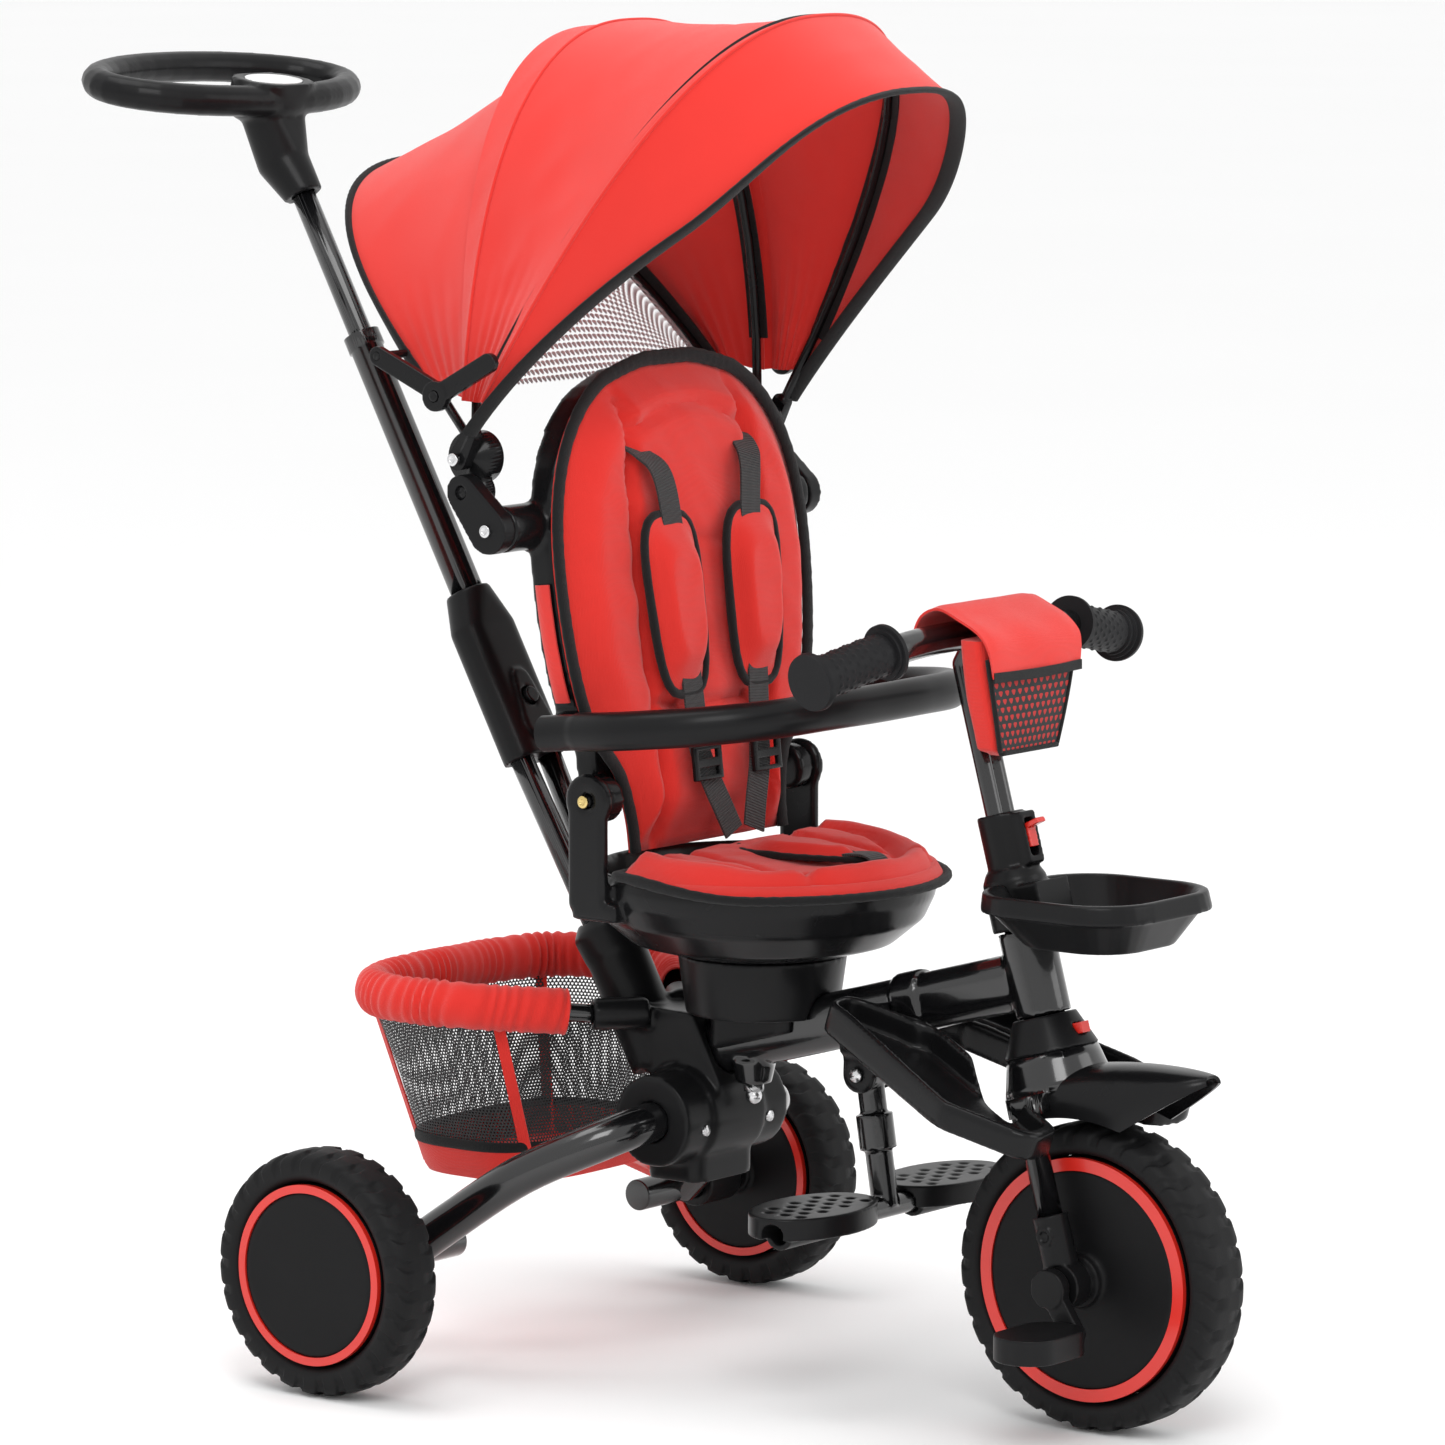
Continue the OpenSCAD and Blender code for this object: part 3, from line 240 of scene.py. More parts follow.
@dataclass(frozen=True)
class Woven:
    """Plain woven cloth: crossing threads, a soft sheen, a slow random change of tone and painted shade in
    the gaps between the threads.
    """

    name: str
    colour: Colour
    threads: float = 420.0
    where: Coordinates = Coordinates.OBJECT
    relief: float = 0.5
    sheen: float = 0.25

    def make(self) -> Material:
        """Builds the material and returns it."""
        s = Shader(self.name, self.where)
        across = s.bands(self.threads, "X", 0.4)
        along = s.bands(self.threads, "Y", 0.4)
        upward = s.bands(self.threads, "Z", 0.4) if self.where is Coordinates.OBJECT else along
        weave = s.math("MULTIPLY", s.math("ADD", s.math("ADD", across, along), upward), 0.33)
        fuzz = s.noise(2600.0, 2.0)
        height = s.math("ADD", weave, s.math("MULTIPLY", fuzz, 0.6))
        # tone: slow random colour change, plus painted shade: the colour follows the weave height, darker in
        # the gaps between threads and lighter on their tops
        tone = s.math("ADD", s.math("MULTIPLY", s.noise(7.0, 4.0), 0.55), s.math("MULTIPLY", height, 0.3))
        s.to("Base Color", s.tint(tone, shade(self.colour, 0.78), shade(self.colour, 1.14)))
        s.to("Roughness", s.spread(weave, 0.78, 0.94))
        s.to("Sheen Weight", self.sheen)
        s.to("Sheen Roughness", 0.5)
        s.to("Specular IOR Level", 0.25)
        s.relief(height, self.relief, 0.0006)
        return s.material


@dataclass(frozen=True)
class Net:
    """Knitted net: threads on two slanted families of lines, open between them, or filled there with a
    darker colour that paints the shaded cloth behind.
    """

    name: str
    colour: Colour
    pitch: float = 0.0042
    thread: float = 0.34
    shaded_backing: Colour | None = None

    def make(self) -> Material:
        """Builds the material and returns it."""
        s = Shader(self.name, Coordinates.UV)
        split = s.add("SeparateXYZ", {0: s.place})
        u, v = split.outputs[0], split.outputs[1]
        masks = []
        for angle in (30.0, 90.0, 150.0):
            c, q = math.cos(math.radians(angle)), math.sin(math.radians(angle))
            line = s.math(
                "ADD", s.math("MULTIPLY", u, c / self.pitch), s.math("MULTIPLY", v, q / self.pitch)
            )
            masks.append(s.math("SINE", s.math("MULTIPLY", line, 2 * math.pi)))
        total = s.math("ADD", s.math("ADD", masks[0], masks[1]), masks[2])
        height = s.spread(total, 0.35, 0.65)
        solid = s.math("LESS_THAN", total, 3.0 * self.thread)
        tone = s.noise(240.0)
        if self.shaded_backing is None:
            s.to("Base Color", s.tint(tone, shade(self.colour, 0.8), shade(self.colour, 1.2)))
            s.to("Alpha", solid)
        else:
            # the holes show a darker red than the bag cloth: the real cloth behind the net, with painted
            # shade inside the pocket
            ramp = s.add("ValToRGB", {0: solid})
            ramp.color_ramp.elements[0].color = (*self.shaded_backing, 1.0)
            ramp.color_ramp.elements[1].color = (*self.colour, 1.0)
            s.to("Base Color", ramp.outputs[0])
        s.to("Roughness", s.spread(tone, 0.6, 0.8))
        s.relief(height, 0.3, 0.0005)
        return s.material


@dataclass(frozen=True)
class Webbing:
    """Narrow woven strap with ribs across it, with painted shade between the ribs and a painted highlight on
    their tops.
    """

    name: str
    colour: Colour
    ribs: float = 150.0

    def make(self) -> Material:
        """Builds the material and returns it."""
        s = Shader(self.name, Coordinates.UV)
        ribs = s.bands(self.ribs, "Y")
        cross = s.bands(self.ribs * 1.6, "X")
        height = s.math("ADD", ribs, s.math("MULTIPLY", cross, 0.5))
        # the colour follows the rib height: painted shade in the grooves and a painted highlight on the rib
        # tops
        s.to(
            "Base Color",
            s.tint(s.math("MULTIPLY", height, 0.6), shade(self.colour, 0.6), shade(self.colour, 1.7))
        )
        s.to("Roughness", s.spread(ribs, 0.62, 0.85))
        s.to("Sheen Weight", 0.15)
        s.relief(height, 0.8, 0.0007)
        return s.material


INK = (0.0045, 0.0045, 0.005)
COAL = (0.0065, 0.0065, 0.007)
SCARLET = (0.70, 0.027, 0.019)


class Palette:
    """Every finish of the tricycle, made once on first use."""

    PLASTIC = Moulded("black_moulding", COAL, 0.34, depth=0.15, coat=0.05)
    SATIN = Moulded("satin_black_moulding", COAL, 0.24, depth=0.06, coat=0.10)
    TYRE = Moulded("tyre_foam", (0.009, 0.009, 0.0095), 0.55, grain=700.0, depth=0.4)
    GRIP = Moulded("grip_rubber", (0.010, 0.010, 0.011), 0.50, grain=900.0, depth=0.3)
    DISC = Moulded("wheel_disc", (0.005, 0.005, 0.0055), 0.44, grain=1500.0, depth=0.2)
    RED = Moulded("red_moulding", (0.62, 0.018, 0.010), 0.3, depth=0.06, mottle=0.08, coat=0.3, shine=0.5)
    WHITE = Moulded("badge_white", (0.72, 0.72, 0.72), 0.28, depth=0.05, mottle=0.06, coat=0.4, shine=0.5)
    PAINT = Lacquer("black_lacquer", INK)
    STEEL = Plated("plated_steel", (0.72, 0.72, 0.73))
    BRASS = Plated("brass_screw", (0.72, 0.55, 0.22))
    CLOTH = Woven("red_cloth", SCARLET)
    CANVAS = Woven("red_canopy_cloth", SCARLET, threads=560.0, where=Coordinates.UV, relief=0.35)
    BINDING = Woven("black_binding", (0.006, 0.006, 0.0065), threads=500.0, relief=0.6, sheen=0.1)
    NET = Net("black_net", (0.020, 0.020, 0.021), pitch=0.0024, thread=0.14)
    WINDOW = Net("white_net", (0.62, 0.62, 0.63), pitch=0.0046, thread=-0.12)
    # the dark red between the threads is the bag cloth with painted shade
    POCKET = Net(
        "pocket_net", (0.012, 0.012, 0.013), pitch=0.0060, thread=0.20, shaded_backing=(0.42, 0.016, 0.014)
    )
    STRAP = Webbing("black_webbing", (0.007, 0.007, 0.0075))
    made: dict[str, Material] = {}

    @classmethod
    def get(cls, finish) -> Material:
        """Returns the material of a finish, making it the first time."""
        if finish.name not in cls.made:
            cls.made[finish.name] = finish.make()
        return cls.made[finish.name]


# ---------- bench: ways to make a mesh ----------
def deselect() -> None:
    """Selects nothing, in object mode."""
    if bpy.context.object is not None and bpy.context.object.mode != "OBJECT":
        bpy.ops.object.mode_set(mode="OBJECT")
    bpy.ops.object.select_all(action="DESELECT")


def pick(*objects: Obj) -> Obj:
    """Selects only these objects, makes the first one active and returns it."""
    deselect()
    for obj in objects:
        obj.select_set(True)
    bpy.context.view_layer.objects.active = objects[0]
    return objects[0]


def modify(obj: Obj, kind: str, **settings) -> Obj:
    """Adds a modifier, sets it and applies it.

    Args:
        obj: the piece.
        kind: the modifier's type.
        **settings: its attributes.

    Returns:
        The same piece.
    """
    pick(obj)
    step = obj.modifiers.new("step", kind)
    for key, value in settings.items():
        setattr(step, key, value)
    bpy.ops.object.modifier_apply(modifier=step.name)
    return obj


def edit(obj: Obj, action: Callable[[], None]) -> Obj:
    """Runs an action in edit mode with everything selected."""
    pick(obj)
    bpy.ops.object.mode_set(mode="EDIT")
    bpy.ops.mesh.select_all(action="SELECT")
    action()
    bpy.ops.object.mode_set(mode="OBJECT")
    return obj


def outward(obj: Obj) -> Obj:
    """Merges doubles and turns every face outwards."""

    def work() -> None:
        """Merges, then recalculates."""
        bpy.ops.mesh.remove_doubles(threshold=0.00002)
        bpy.ops.mesh.normals_make_consistent(inside=False)

    return edit(obj, work)


def soften(obj: Obj, degrees: float = 40.0) -> Obj:
    """Shades the piece smooth except at edges sharper than the angle."""
    pick(obj)
    bpy.ops.object.shade_smooth_by_angle(angle=math.radians(degrees))
    return obj


def settle(obj: Obj) -> Obj:
    """Applies the place, turn and size of a piece to its mesh."""
    pick(obj)
    bpy.ops.object.transform_apply(location=True, rotation=True, scale=True)
    return obj


def named(obj: Obj, name: str) -> Obj:
    """Names the piece and its mesh."""
    obj.name = name
    obj.data.name = name
    return obj


def merge(name: str, *objects: Obj) -> Obj:
    """Joins pieces into one of that name."""
    pick(*objects)
    if len(objects) > 1:
        bpy.ops.object.join()
    return named(bpy.context.object, name)


def finish_piece(obj: Obj, finish, body: str | None, stands_for: Sequence[str] = ()) -> Obj:
    """Dresses a piece and ties it to its body.

    Args:
        obj: the piece.
        finish: a finish of the palette.
        body: the body it rides on, or None where it blends.
        stands_for: CAD nodes that it replaces.

    Returns:
        The same piece.
    """
    obj.data.materials.clear()
    obj.data.materials.append(Palette.get(finish))
    if body:
        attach(obj, body)
    if stands_for:
        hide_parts(*stands_for)
    LOG.info("%s: %d faces", obj.name, len(obj.data.polygons))
    return obj


def squarish(value, power: float):
    """Bends a sine or cosine so that the curve made from it turns squarer.

    Args:
        value: sines or cosines.
        power: 1 leaves a round curve, less squares it.

    Returns:
        The bent values, with their signs.
    """
    return np.sign(value) * np.abs(value) ** power


def raw_mesh(name: str, points: np.ndarray, faces: list, uvs: np.ndarray | None = None) -> Obj:
    """Makes a mesh object from points in millimetres.

    Args:
        name: the piece's name.
        points: an array of points.
        faces: tuples of point numbers.
        uvs: one coordinate pair for each point, in metres.

    Returns:
        The object.
    """
    mesh = bpy.data.meshes.new(name)
    mesh.from_pydata((np.asarray(points, float) * MM).tolist(), [], faces)
    if uvs is not None:
        layer = mesh.uv_layers.new(name="UVMap")
        index = np.zeros(len(mesh.loops), dtype=np.int32)
        mesh.loops.foreach_get("vertex_index", index)
        layer.data.foreach_set("uv", np.asarray(uvs, np.float32)[index].ravel())
    mesh.update()
    obj = bpy.data.objects.new(name, mesh)
    bpy.context.scene.collection.objects.link(obj)
    mesh.polygons.foreach_set("use_smooth", [True] * len(mesh.polygons))
    return obj


def lattice(name: str, rows: np.ndarray, ring: bool = False, loop: bool = False, caps: bool = False) -> Obj:
    """Makes a sheet or a tube of quads from rows of points.

    Args:
        name: the piece's name.
        rows: an array of rows x columns x 3, in millimetres.
        ring: whether the last column joins the first.
        loop: whether the last row joins the first.
        caps: whether the end rows are filled.

    Returns:
        The object, with a UV map in metres.
    """
    count, width = rows.shape[:2]
    faces = []
    for i in range(count if loop else count - 1):
        n = (i + 1) % count
        for j in range(width if ring else width - 1):
            k = (j + 1) % width
            faces.append((i * width + j, i * width + k, n * width + k, n * width + j))
    if caps:
        faces.append(tuple(range(width - 1, -1, -1)))
        faces.append(tuple((count - 1) * width + j for j in range(width)))
    step_v = np.linalg.norm(np.diff(rows, axis=0), axis=2).mean(axis=1)
    step_u = np.linalg.norm(np.diff(rows, axis=1), axis=2).mean(axis=0)
    v = np.concatenate([[0.0], np.cumsum(step_v)]) * MM
    u = np.concatenate([[0.0], np.cumsum(step_u)]) * MM
    uvs = np.stack(np.broadcast_arrays(u[None, :], v[:, None]), axis=2).reshape(-1, 2)
    return raw_mesh(name, rows.reshape(-1, 3), faces, uvs)


def flow(points: Sequence, steps: int = 8, loop: bool = False) -> np.ndarray:
    """Smooth curve through points in millimetres.

    Args:
        points: the points.
        steps: how many parts each span has.
        loop: whether the curve is closed.

    Returns:
        The points along the curve.
    """
    p = np.asarray(points, float)
    n = len(p)
    out = []
    for i in range(n if loop else n - 1):
        if loop:
            a, b, c, d = p[(i - 1) % n], p[i], p[(i + 1) % n], p[(i + 2) % n]
        else:
            a, b, c, d = p[max(i - 1, 0)], p[i], p[i + 1], p[min(i + 2, n - 1)]
        for k in range(steps):
            t = k / steps
            out.append(
                0.5 * (
                    2 * b + (c - a) * t + (2 * a - 5 * b + 4 * c - d) * t**2 + (3 * b - a - 3 * c + d) * t**3
                )
            )
    if not loop:
        out.append(p[-1])
    return np.array(out)


def frames(path: np.ndarray, ref: Sequence[float], loop: bool) -> tuple[np.ndarray, np.ndarray]:
    """Two square directions at each point of a path.

    Args:
        path: the points.
        ref: a direction that the first one stays square to.
        loop: whether the path is closed.

    Returns:
        The first and the second direction.
    """
    if loop:
        tangent = np.roll(path, -1, axis=0) - np.roll(path, 1, axis=0)
    else:
        tangent = np.gradient(path, axis=0)
    tangent /= np.linalg.norm(tangent, axis=1, keepdims=True)
    first = np.cross(np.asarray(ref, float), tangent)
    first /= np.linalg.norm(first, axis=1, keepdims=True)
    return first, np.cross(tangent, first)


def swept(
    name: str,
    path: np.ndarray,
    size: float | Sequence[float] | Callable[[float], tuple[float, float]],
    sides: int = 24,
    ref: Sequence[float] = (0, 0, 1),
    loop: bool = False,
    squareness: float = 1.0,
) -> Obj:
    """Sweeps an oval or squarish section along a path.

    Args:
        name: the piece's name.
        path: points in millimetres.
        size: a radius, two half sizes, or a function of the share of the way that gives two half sizes.
        sides: points round the section.
        ref: the direction that the section's first axis stays square to.
        loop: whether the path is closed.
        squareness: 1 for an oval, less for a squarer section.

    Returns:
        The object.
    """
    path = np.asarray(path, float)
    first, second = frames(path, ref, loop)
    angle = np.linspace(0, 2 * math.pi, sides, endpoint=False)
    c, q = squarish(np.cos(angle), squareness), squarish(np.sin(angle), squareness)
    rows = []
    for i, point in enumerate(path):
        share = i / (len(path) - 1)
        a, b = size(share) if callable(size) else (size, size) if isinstance(size, (int, float)) else size
        rows.append(point + np.outer(c * a, first[i]) + np.outer(q * b, second[i]))
    return lattice(name, np.array(rows), ring=True, loop=loop, caps=not loop)


def ribbon(name: str, path: np.ndarray, width: float, thick: float,
    ref: Sequence[float] = (0, 1, 0)) -> Obj:
    """Makes a flat strap along a path; ref is the direction across its width."""
    path = np.asarray(path, float)
    tangent = np.gradient(path, axis=0)
    tangent /= np.linalg.norm(tangent, axis=1, keepdims=True)
    across = np.asarray(ref, float)[None, :] - tangent * (tangent @ np.asarray(ref, float))[:, None]
    across /= np.linalg.norm(across, axis=1, keepdims=True)
    up = np.cross(tangent, across)
    h, t = width / 2, thick / 2
    corners = [
        (-h, -t), (-h * 0.5, -t), (0, -t), (h * 0.5, -t), (h, -t), (h, t), (h * 0.5, t), (0, t),
        (-h * 0.5, t), (-h, t)
    ]
    rows = np.stack([path + across * a + up * b for a, b in corners], axis=1)
    obj = lattice(name, rows, ring=True, caps=True)
    return soften(outward(obj), 50)


def wobble(points: np.ndarray, scale: float, seed: int) -> np.ndarray:
    """Smooth pseudo-random value in -1..1 for each point, from fixed sine waves.

    Args:
        points: points in millimetres, in the last axis.
        scale: the size of the lumps in millimetres.
        seed: picks the set of waves.

    Returns:
        One value for each point.
    """
    rng = np.random.default_rng(seed)
    total = np.zeros(points.shape[:-1])
    for _ in range(7):
        direction = rng.normal(size=3)
        direction /= np.linalg.norm(direction)
        total += np.sin(
            points @ direction * (2 * math.pi / scale) * rng.uniform(0.6, 1.6) + rng.uniform(0, 6.28)
        )
    return total / 7 * 1.6


def rebuilt(node: str, name: str, voxel: float, passes: int = 5) -> Obj:
    """A copy of a CAD node with its edges rounded, as a moulding has them.

    Args:
        node: the CAD node.
        name: the new piece's name.
        voxel: the size of the rebuilt faces in millimetres.
        passes: how many smoothing passes.

    Returns:
        The new piece.
    """
    source = frame["nodes"][node]
    copy = bpy.data.objects.new(name, source.data.copy())
    bpy.context.scene.collection.objects.link(copy)
    for key in list(copy.keys()):
        del copy[key]
    merge_doubles(copy)
    modify(copy, "REMESH", mode="VOXEL", voxel_size=voxel * MM, use_smooth_shade=True)
    modify(copy, "SMOOTH", factor=0.5, iterations=passes)
    return named(copy, name)


def merge_doubles(obj: Obj) -> Obj:
    """Merges the loose triangles of a copied CAD mesh."""
    return edit(obj, lambda: bpy.ops.mesh.remove_doubles(threshold=0.00002))


def turned(node: str, name: str, degrees: float = 35.0) -> Obj:
    """A merged copy of a CAD node with smooth shading on its round faces."""
    source = frame["nodes"][node]
    copy = bpy.data.objects.new(name, source.data.copy())
    bpy.context.scene.collection.objects.link(copy)
    merge_doubles(copy)
    return soften(named(copy, name), degrees)


def cube(size: Sequence[float], at: Sequence[float]) -> Obj:
    """Adds a cube primitive of a size, centred at a place, in millimetres."""
    deselect()
    bpy.ops.mesh.primitive_cube_add(size=1.0, location=Vector(at) * MM, scale=Vector(size) * MM)
    return settle(bpy.context.object)


def rod(radius: float, length: float, at: Sequence[float], axis: Sequence[float] = (0, 1, 0),
    sides: int = 32) -> Obj:
    """Adds a cylinder primitive, centred at a place and turned to an axis, in millimetres."""
    deselect()
    bpy.ops.mesh.primitive_cylinder_add(
        vertices=sides,
        radius=radius * MM,
        depth=length * MM,
        location=Vector(at) * MM,
        rotation=Vector(axis).to_track_quat("Z", "Y").to_euler(),
    )
    return settle(bpy.context.object)


def bevelled(obj: Obj, width: float, segments: int = 3, degrees: float = 35.0) -> Obj:
    """Rounds the sharp edges of a piece and shades it."""
    modify(
        obj, "BEVEL", width=width * MM, segments=segments, limit_method="ANGLE",
        angle_limit=math.radians(degrees)
    )
    return soften(obj, 50)


def screw(at: Sequence[float], axis: Sequence[float], radius: float = 4.0) -> Obj:
    """Makes a domed screw head with a cross slot.

    Args:
        at: the head's seat, in millimetres.
        axis: the way it faces.
        radius: the head's radius.

    Returns:
        The head.
    """
    way = Vector(axis).normalized()
    head = rod(radius, 2.4, Vector(at) + way * 1.2, axis, 24)

    def dome() -> None:
        """Insets the face that looks outwards, sinks it and scores it."""
        bpy.ops.mesh.select_all(action="DESELECT")
        bpy.ops.object.mode_set(mode="OBJECT")
        for face in head.data.polygons:
            face.select = face.normal.dot(way) > 0.9
        bpy.ops.object.mode_set(mode="EDIT")
        bpy.ops.mesh.inset(thickness=radius * 0.45 * MM, depth=0.5 * MM)
        bpy.ops.mesh.inset(thickness=radius * 0.15 * MM, depth=-0.9 * MM)

    edit(head, dome)
    return bevelled(head, 0.4, 2)


# ---------- hard parts ----------
@dataclass(frozen=True)
class Shell:
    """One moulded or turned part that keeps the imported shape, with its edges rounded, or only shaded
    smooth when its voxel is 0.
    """

    node: str
    name: str
    finish: object
    slot: str
    voxel: float = 1.6
    passes: int = 5

    def build(self) -> Obj:
        """Builds the part and ties it to its body."""
        if self.voxel:
            obj = rebuilt(self.node, self.name, self.voxel, self.passes)
        else:
            obj = turned(self.node, self.name)
        return finish_piece(obj, self.finish, body_of(self.node), [self.node])


def body_of(node: str) -> str:
    """Returns the body that a CAD node belongs to."""
    for body, nodes in frame["record"]["behaviour"]["bodies"].items():
        if node in nodes:
            return body
    raise KeyError(node)


SHELLS = (
    Shell("main_frame", "main_tube", Palette.PAINT, "frame_paint", 1.9, 3),
    Shell("rear_housing", "rear_housing_cover", Palette.PLASTIC, "black_plastic", 2.0, 8),
    Shell("turntable", "swivel_plinth", Palette.PLASTIC, "black_plastic", 1.8),
    Shell("foot_troughs", "foot_trough_moulding", Palette.SATIN, "black_plastic", 1.7, 28),
    Shell("pole_lower", "pole_twin_tubes", Palette.PAINT, "frame_paint", 0),
    Shell("pole_sleeve", "pole_sleeve_moulding", Palette.PLASTIC, "black_plastic", 1.6, 4),
    Shell("pole_mid", "pole_middle_tube", Palette.PAINT, "frame_paint", 0),
    Shell("frame_screws", "bright_fasteners", Palette.STEEL, "steel", 0),
    Shell("basket_hoop", "basket_hoop_tube", Palette.PAINT, "frame_paint", 0),
    Shell("brake_housing", "brake_shell", Palette.PLASTIC, "black_plastic", 1.2),
    Shell("brake_pedal", "brake_pedal_moulding", Palette.RED, "red_plastic", 0.9, 4),
    Shell("pole_upper", "pole_upper_tube", Palette.PAINT, "frame_paint", 0),
    Shell("push_handle", "push_handle_loop", Palette.PLASTIC, "black_plastic", 1.6, 6),
    Shell("handle_badge", "handle_plate", Palette.WHITE, "badge_white", 0),
    Shell("rim_rear_right", "rear_disc_right", Palette.DISC, "black_plastic", 1.6, 4),
    Shell("rim_rear_left", "rear_disc_left", Palette.DISC, "black_plastic", 1.6, 4),
    Shell("rim_front", "front_disc", Palette.DISC, "black_plastic", 1.7, 4),
    Shell("rings_rear_right", "rear_ring_right", Palette.RED, "red_plastic", 0),
    Shell("rings_rear_left", "rear_ring_left", Palette.RED, "red_plastic", 0),
    Shell("rings_front", "front_rings", Palette.RED, "red_plastic", 0),
    Shell("fork", "fork_tubes", Palette.PAINT, "frame_paint", 0),
    Shell("fork_dropouts", "fork_end_covers", Palette.PLASTIC, "black_plastic", 1.0),
    Shell("fork_collar", "fork_collar_moulding", Palette.PLASTIC, "black_plastic", 1.0),
    Shell("lock_button", "fork_lock_button", Palette.RED, "red_plastic", 0.6, 3),
    Shell("stem_housing", "stem_cover", Palette.PLASTIC, "black_plastic", 1.4),
    Shell("stem_lever", "stem_clamp_lever", Palette.RED, "red_plastic", 0.8, 3),
    Shell("tray", "front_tray", Palette.PLASTIC, "black_plastic", 1.6, 4),
    Shell("crank", "crank_set", Palette.PLASTIC, "black_plastic", 1.0),
    Shell("pedal_right", "pedal_moulding_right", Palette.PLASTIC, "black_plastic", 0.9, 3),
    Shell("pedal_left", "pedal_moulding_left", Palette.PLASTIC, "black_plastic", 0.9, 3),
    Shell("footrest_post", "footrest_tube", Palette.PAINT, "frame_paint", 1.1, 3),
    Shell("footplate_right", "footplate_moulding_right", Palette.PLASTIC, "black_plastic", 1.1, 2),
    Shell("footplate_left", "footplate_moulding_left", Palette.PLASTIC, "black_plastic", 1.1, 2),
    Shell("seat_pan", "seat_shell", Palette.SATIN, "black_plastic", 2.2, 6),
    Shell("back_shell", "backrest_shell", Palette.SATIN, "black_plastic", 2.3, 6),
    Shell("canopy_arms", "canopy_arm_covers", Palette.PLASTIC, "black_plastic", 1.1),
    Shell("canopy_frame", "canopy_bows", Palette.SATIN, "black_plastic", 0),
    Shell("canopy_front_bow", "canopy_front_hoop", Palette.SATIN, "black_plastic", 0),
    Shell("canopy_link_rear", "canopy_rear_stretcher", Palette.SATIN, "black_plastic", 0.8),
    Shell("canopy_link_front", "canopy_front_stretcher", Palette.SATIN, "black_plastic", 0.8),
)


@dataclass(frozen=True)
class Tyre:
    """Foam tyre with a rounded section and S-shaped grooves over its shoulders."""

    node: str
    name: str
    centre: tuple[float, float, float]
    inner: float
    outer: float
    half: float
    blocks: int
    groove: float = 2.4
    around: int = 720
    across: int = 48

    def build(self) -> Obj:
        """Builds the tyre by turning its section round the axle, with the tread cut in as it goes."""
        turn = np.linspace(0, 2 * math.pi, self.around, endpoint=False)[:, None]
        sect = np.linspace(0, 2 * math.pi, self.across, endpoint=False)[None, :]
        middle, rise = (self.inner + self.outer) / 2, (self.outer - self.inner) / 2
        c, q = np.cos(sect), np.sin(sect)
        side = squarish(q, 0.62) * self.half
        height = middle + squarish(c, 0.72) * rise
        share = np.clip(np.abs(side) / self.half, 0, 1)
        phase = turn * self.blocks + 1.9 * np.sin(share * math.pi * 1.25
            - 0.6) + (np.sign(side) > 0) * math.pi
        wave = np.clip((np.cos(phase) - 0.25) / 0.3, 0, 1)
        zone = np.clip((share - 0.34) / 0.07, 0, 1) * np.clip(
            (height - middle + rise * 0.15) / (rise * 0.25), 0, 1
        )
        rib = np.exp(-(((share - 0.22) / 0.05) ** 2)) * (height > middle)
        depth = self.groove * np.maximum(wave * zone, rib)
        height = height - depth * np.clip(c, 0, 1) ** 0.6
        side = side - np.sign(side) * depth * 0.6 * share**3
        x = self.centre[0] + height * np.cos(turn)
        z = self.centre[2] + height * np.sin(turn)
        y = self.centre[1] + side
        obj = outward(lattice(self.name, np.stack([x, y, z], axis=2), ring=True, loop=True))
        soften(obj, 60)
        return finish_piece(obj, Palette.TYRE, body_of(self.node), [self.node])


def push_button() -> Obj:
    """Builds the pole's push button, slimmer than its pocket and short enough to travel in it.

    Returns:
        The finished button.
    """
    joints = frame["record"]["behaviour"]["joints"]
    way = Vector(next(joint["axis"] for joint in joints if joint["name"] == "button_press"))
    obj = rebuilt("pole_button", "pole_push_button", 0.8, 5)
    middle = sum((v.co for v in obj.data.vertices), Vector()) / len(obj.data.vertices)
    for vertex in obj.data.vertices:
        offset = vertex.co - middle
        along = offset.dot(way)
        across = offset - way * along
        vertex.co = middle + way * (along if along > 0 else along * 0.4) + across * 0.9
    return finish_piece(obj, Palette.SATIN, "button", ["pole_button"])


TYRES = (
    Tyre("tyre_rear_right", "rear_tyre_right", (-106, -252, 90), 66.2, 90, 22, 26),
    Tyre("tyre_rear_left", "rear_tyre_left", (-106, 252, 90), 66.2, 90, 22, 26),
    Tyre("tyre_front", "front_tyre", (399, 0, 110), 87.2, 110, 25, 30),
)


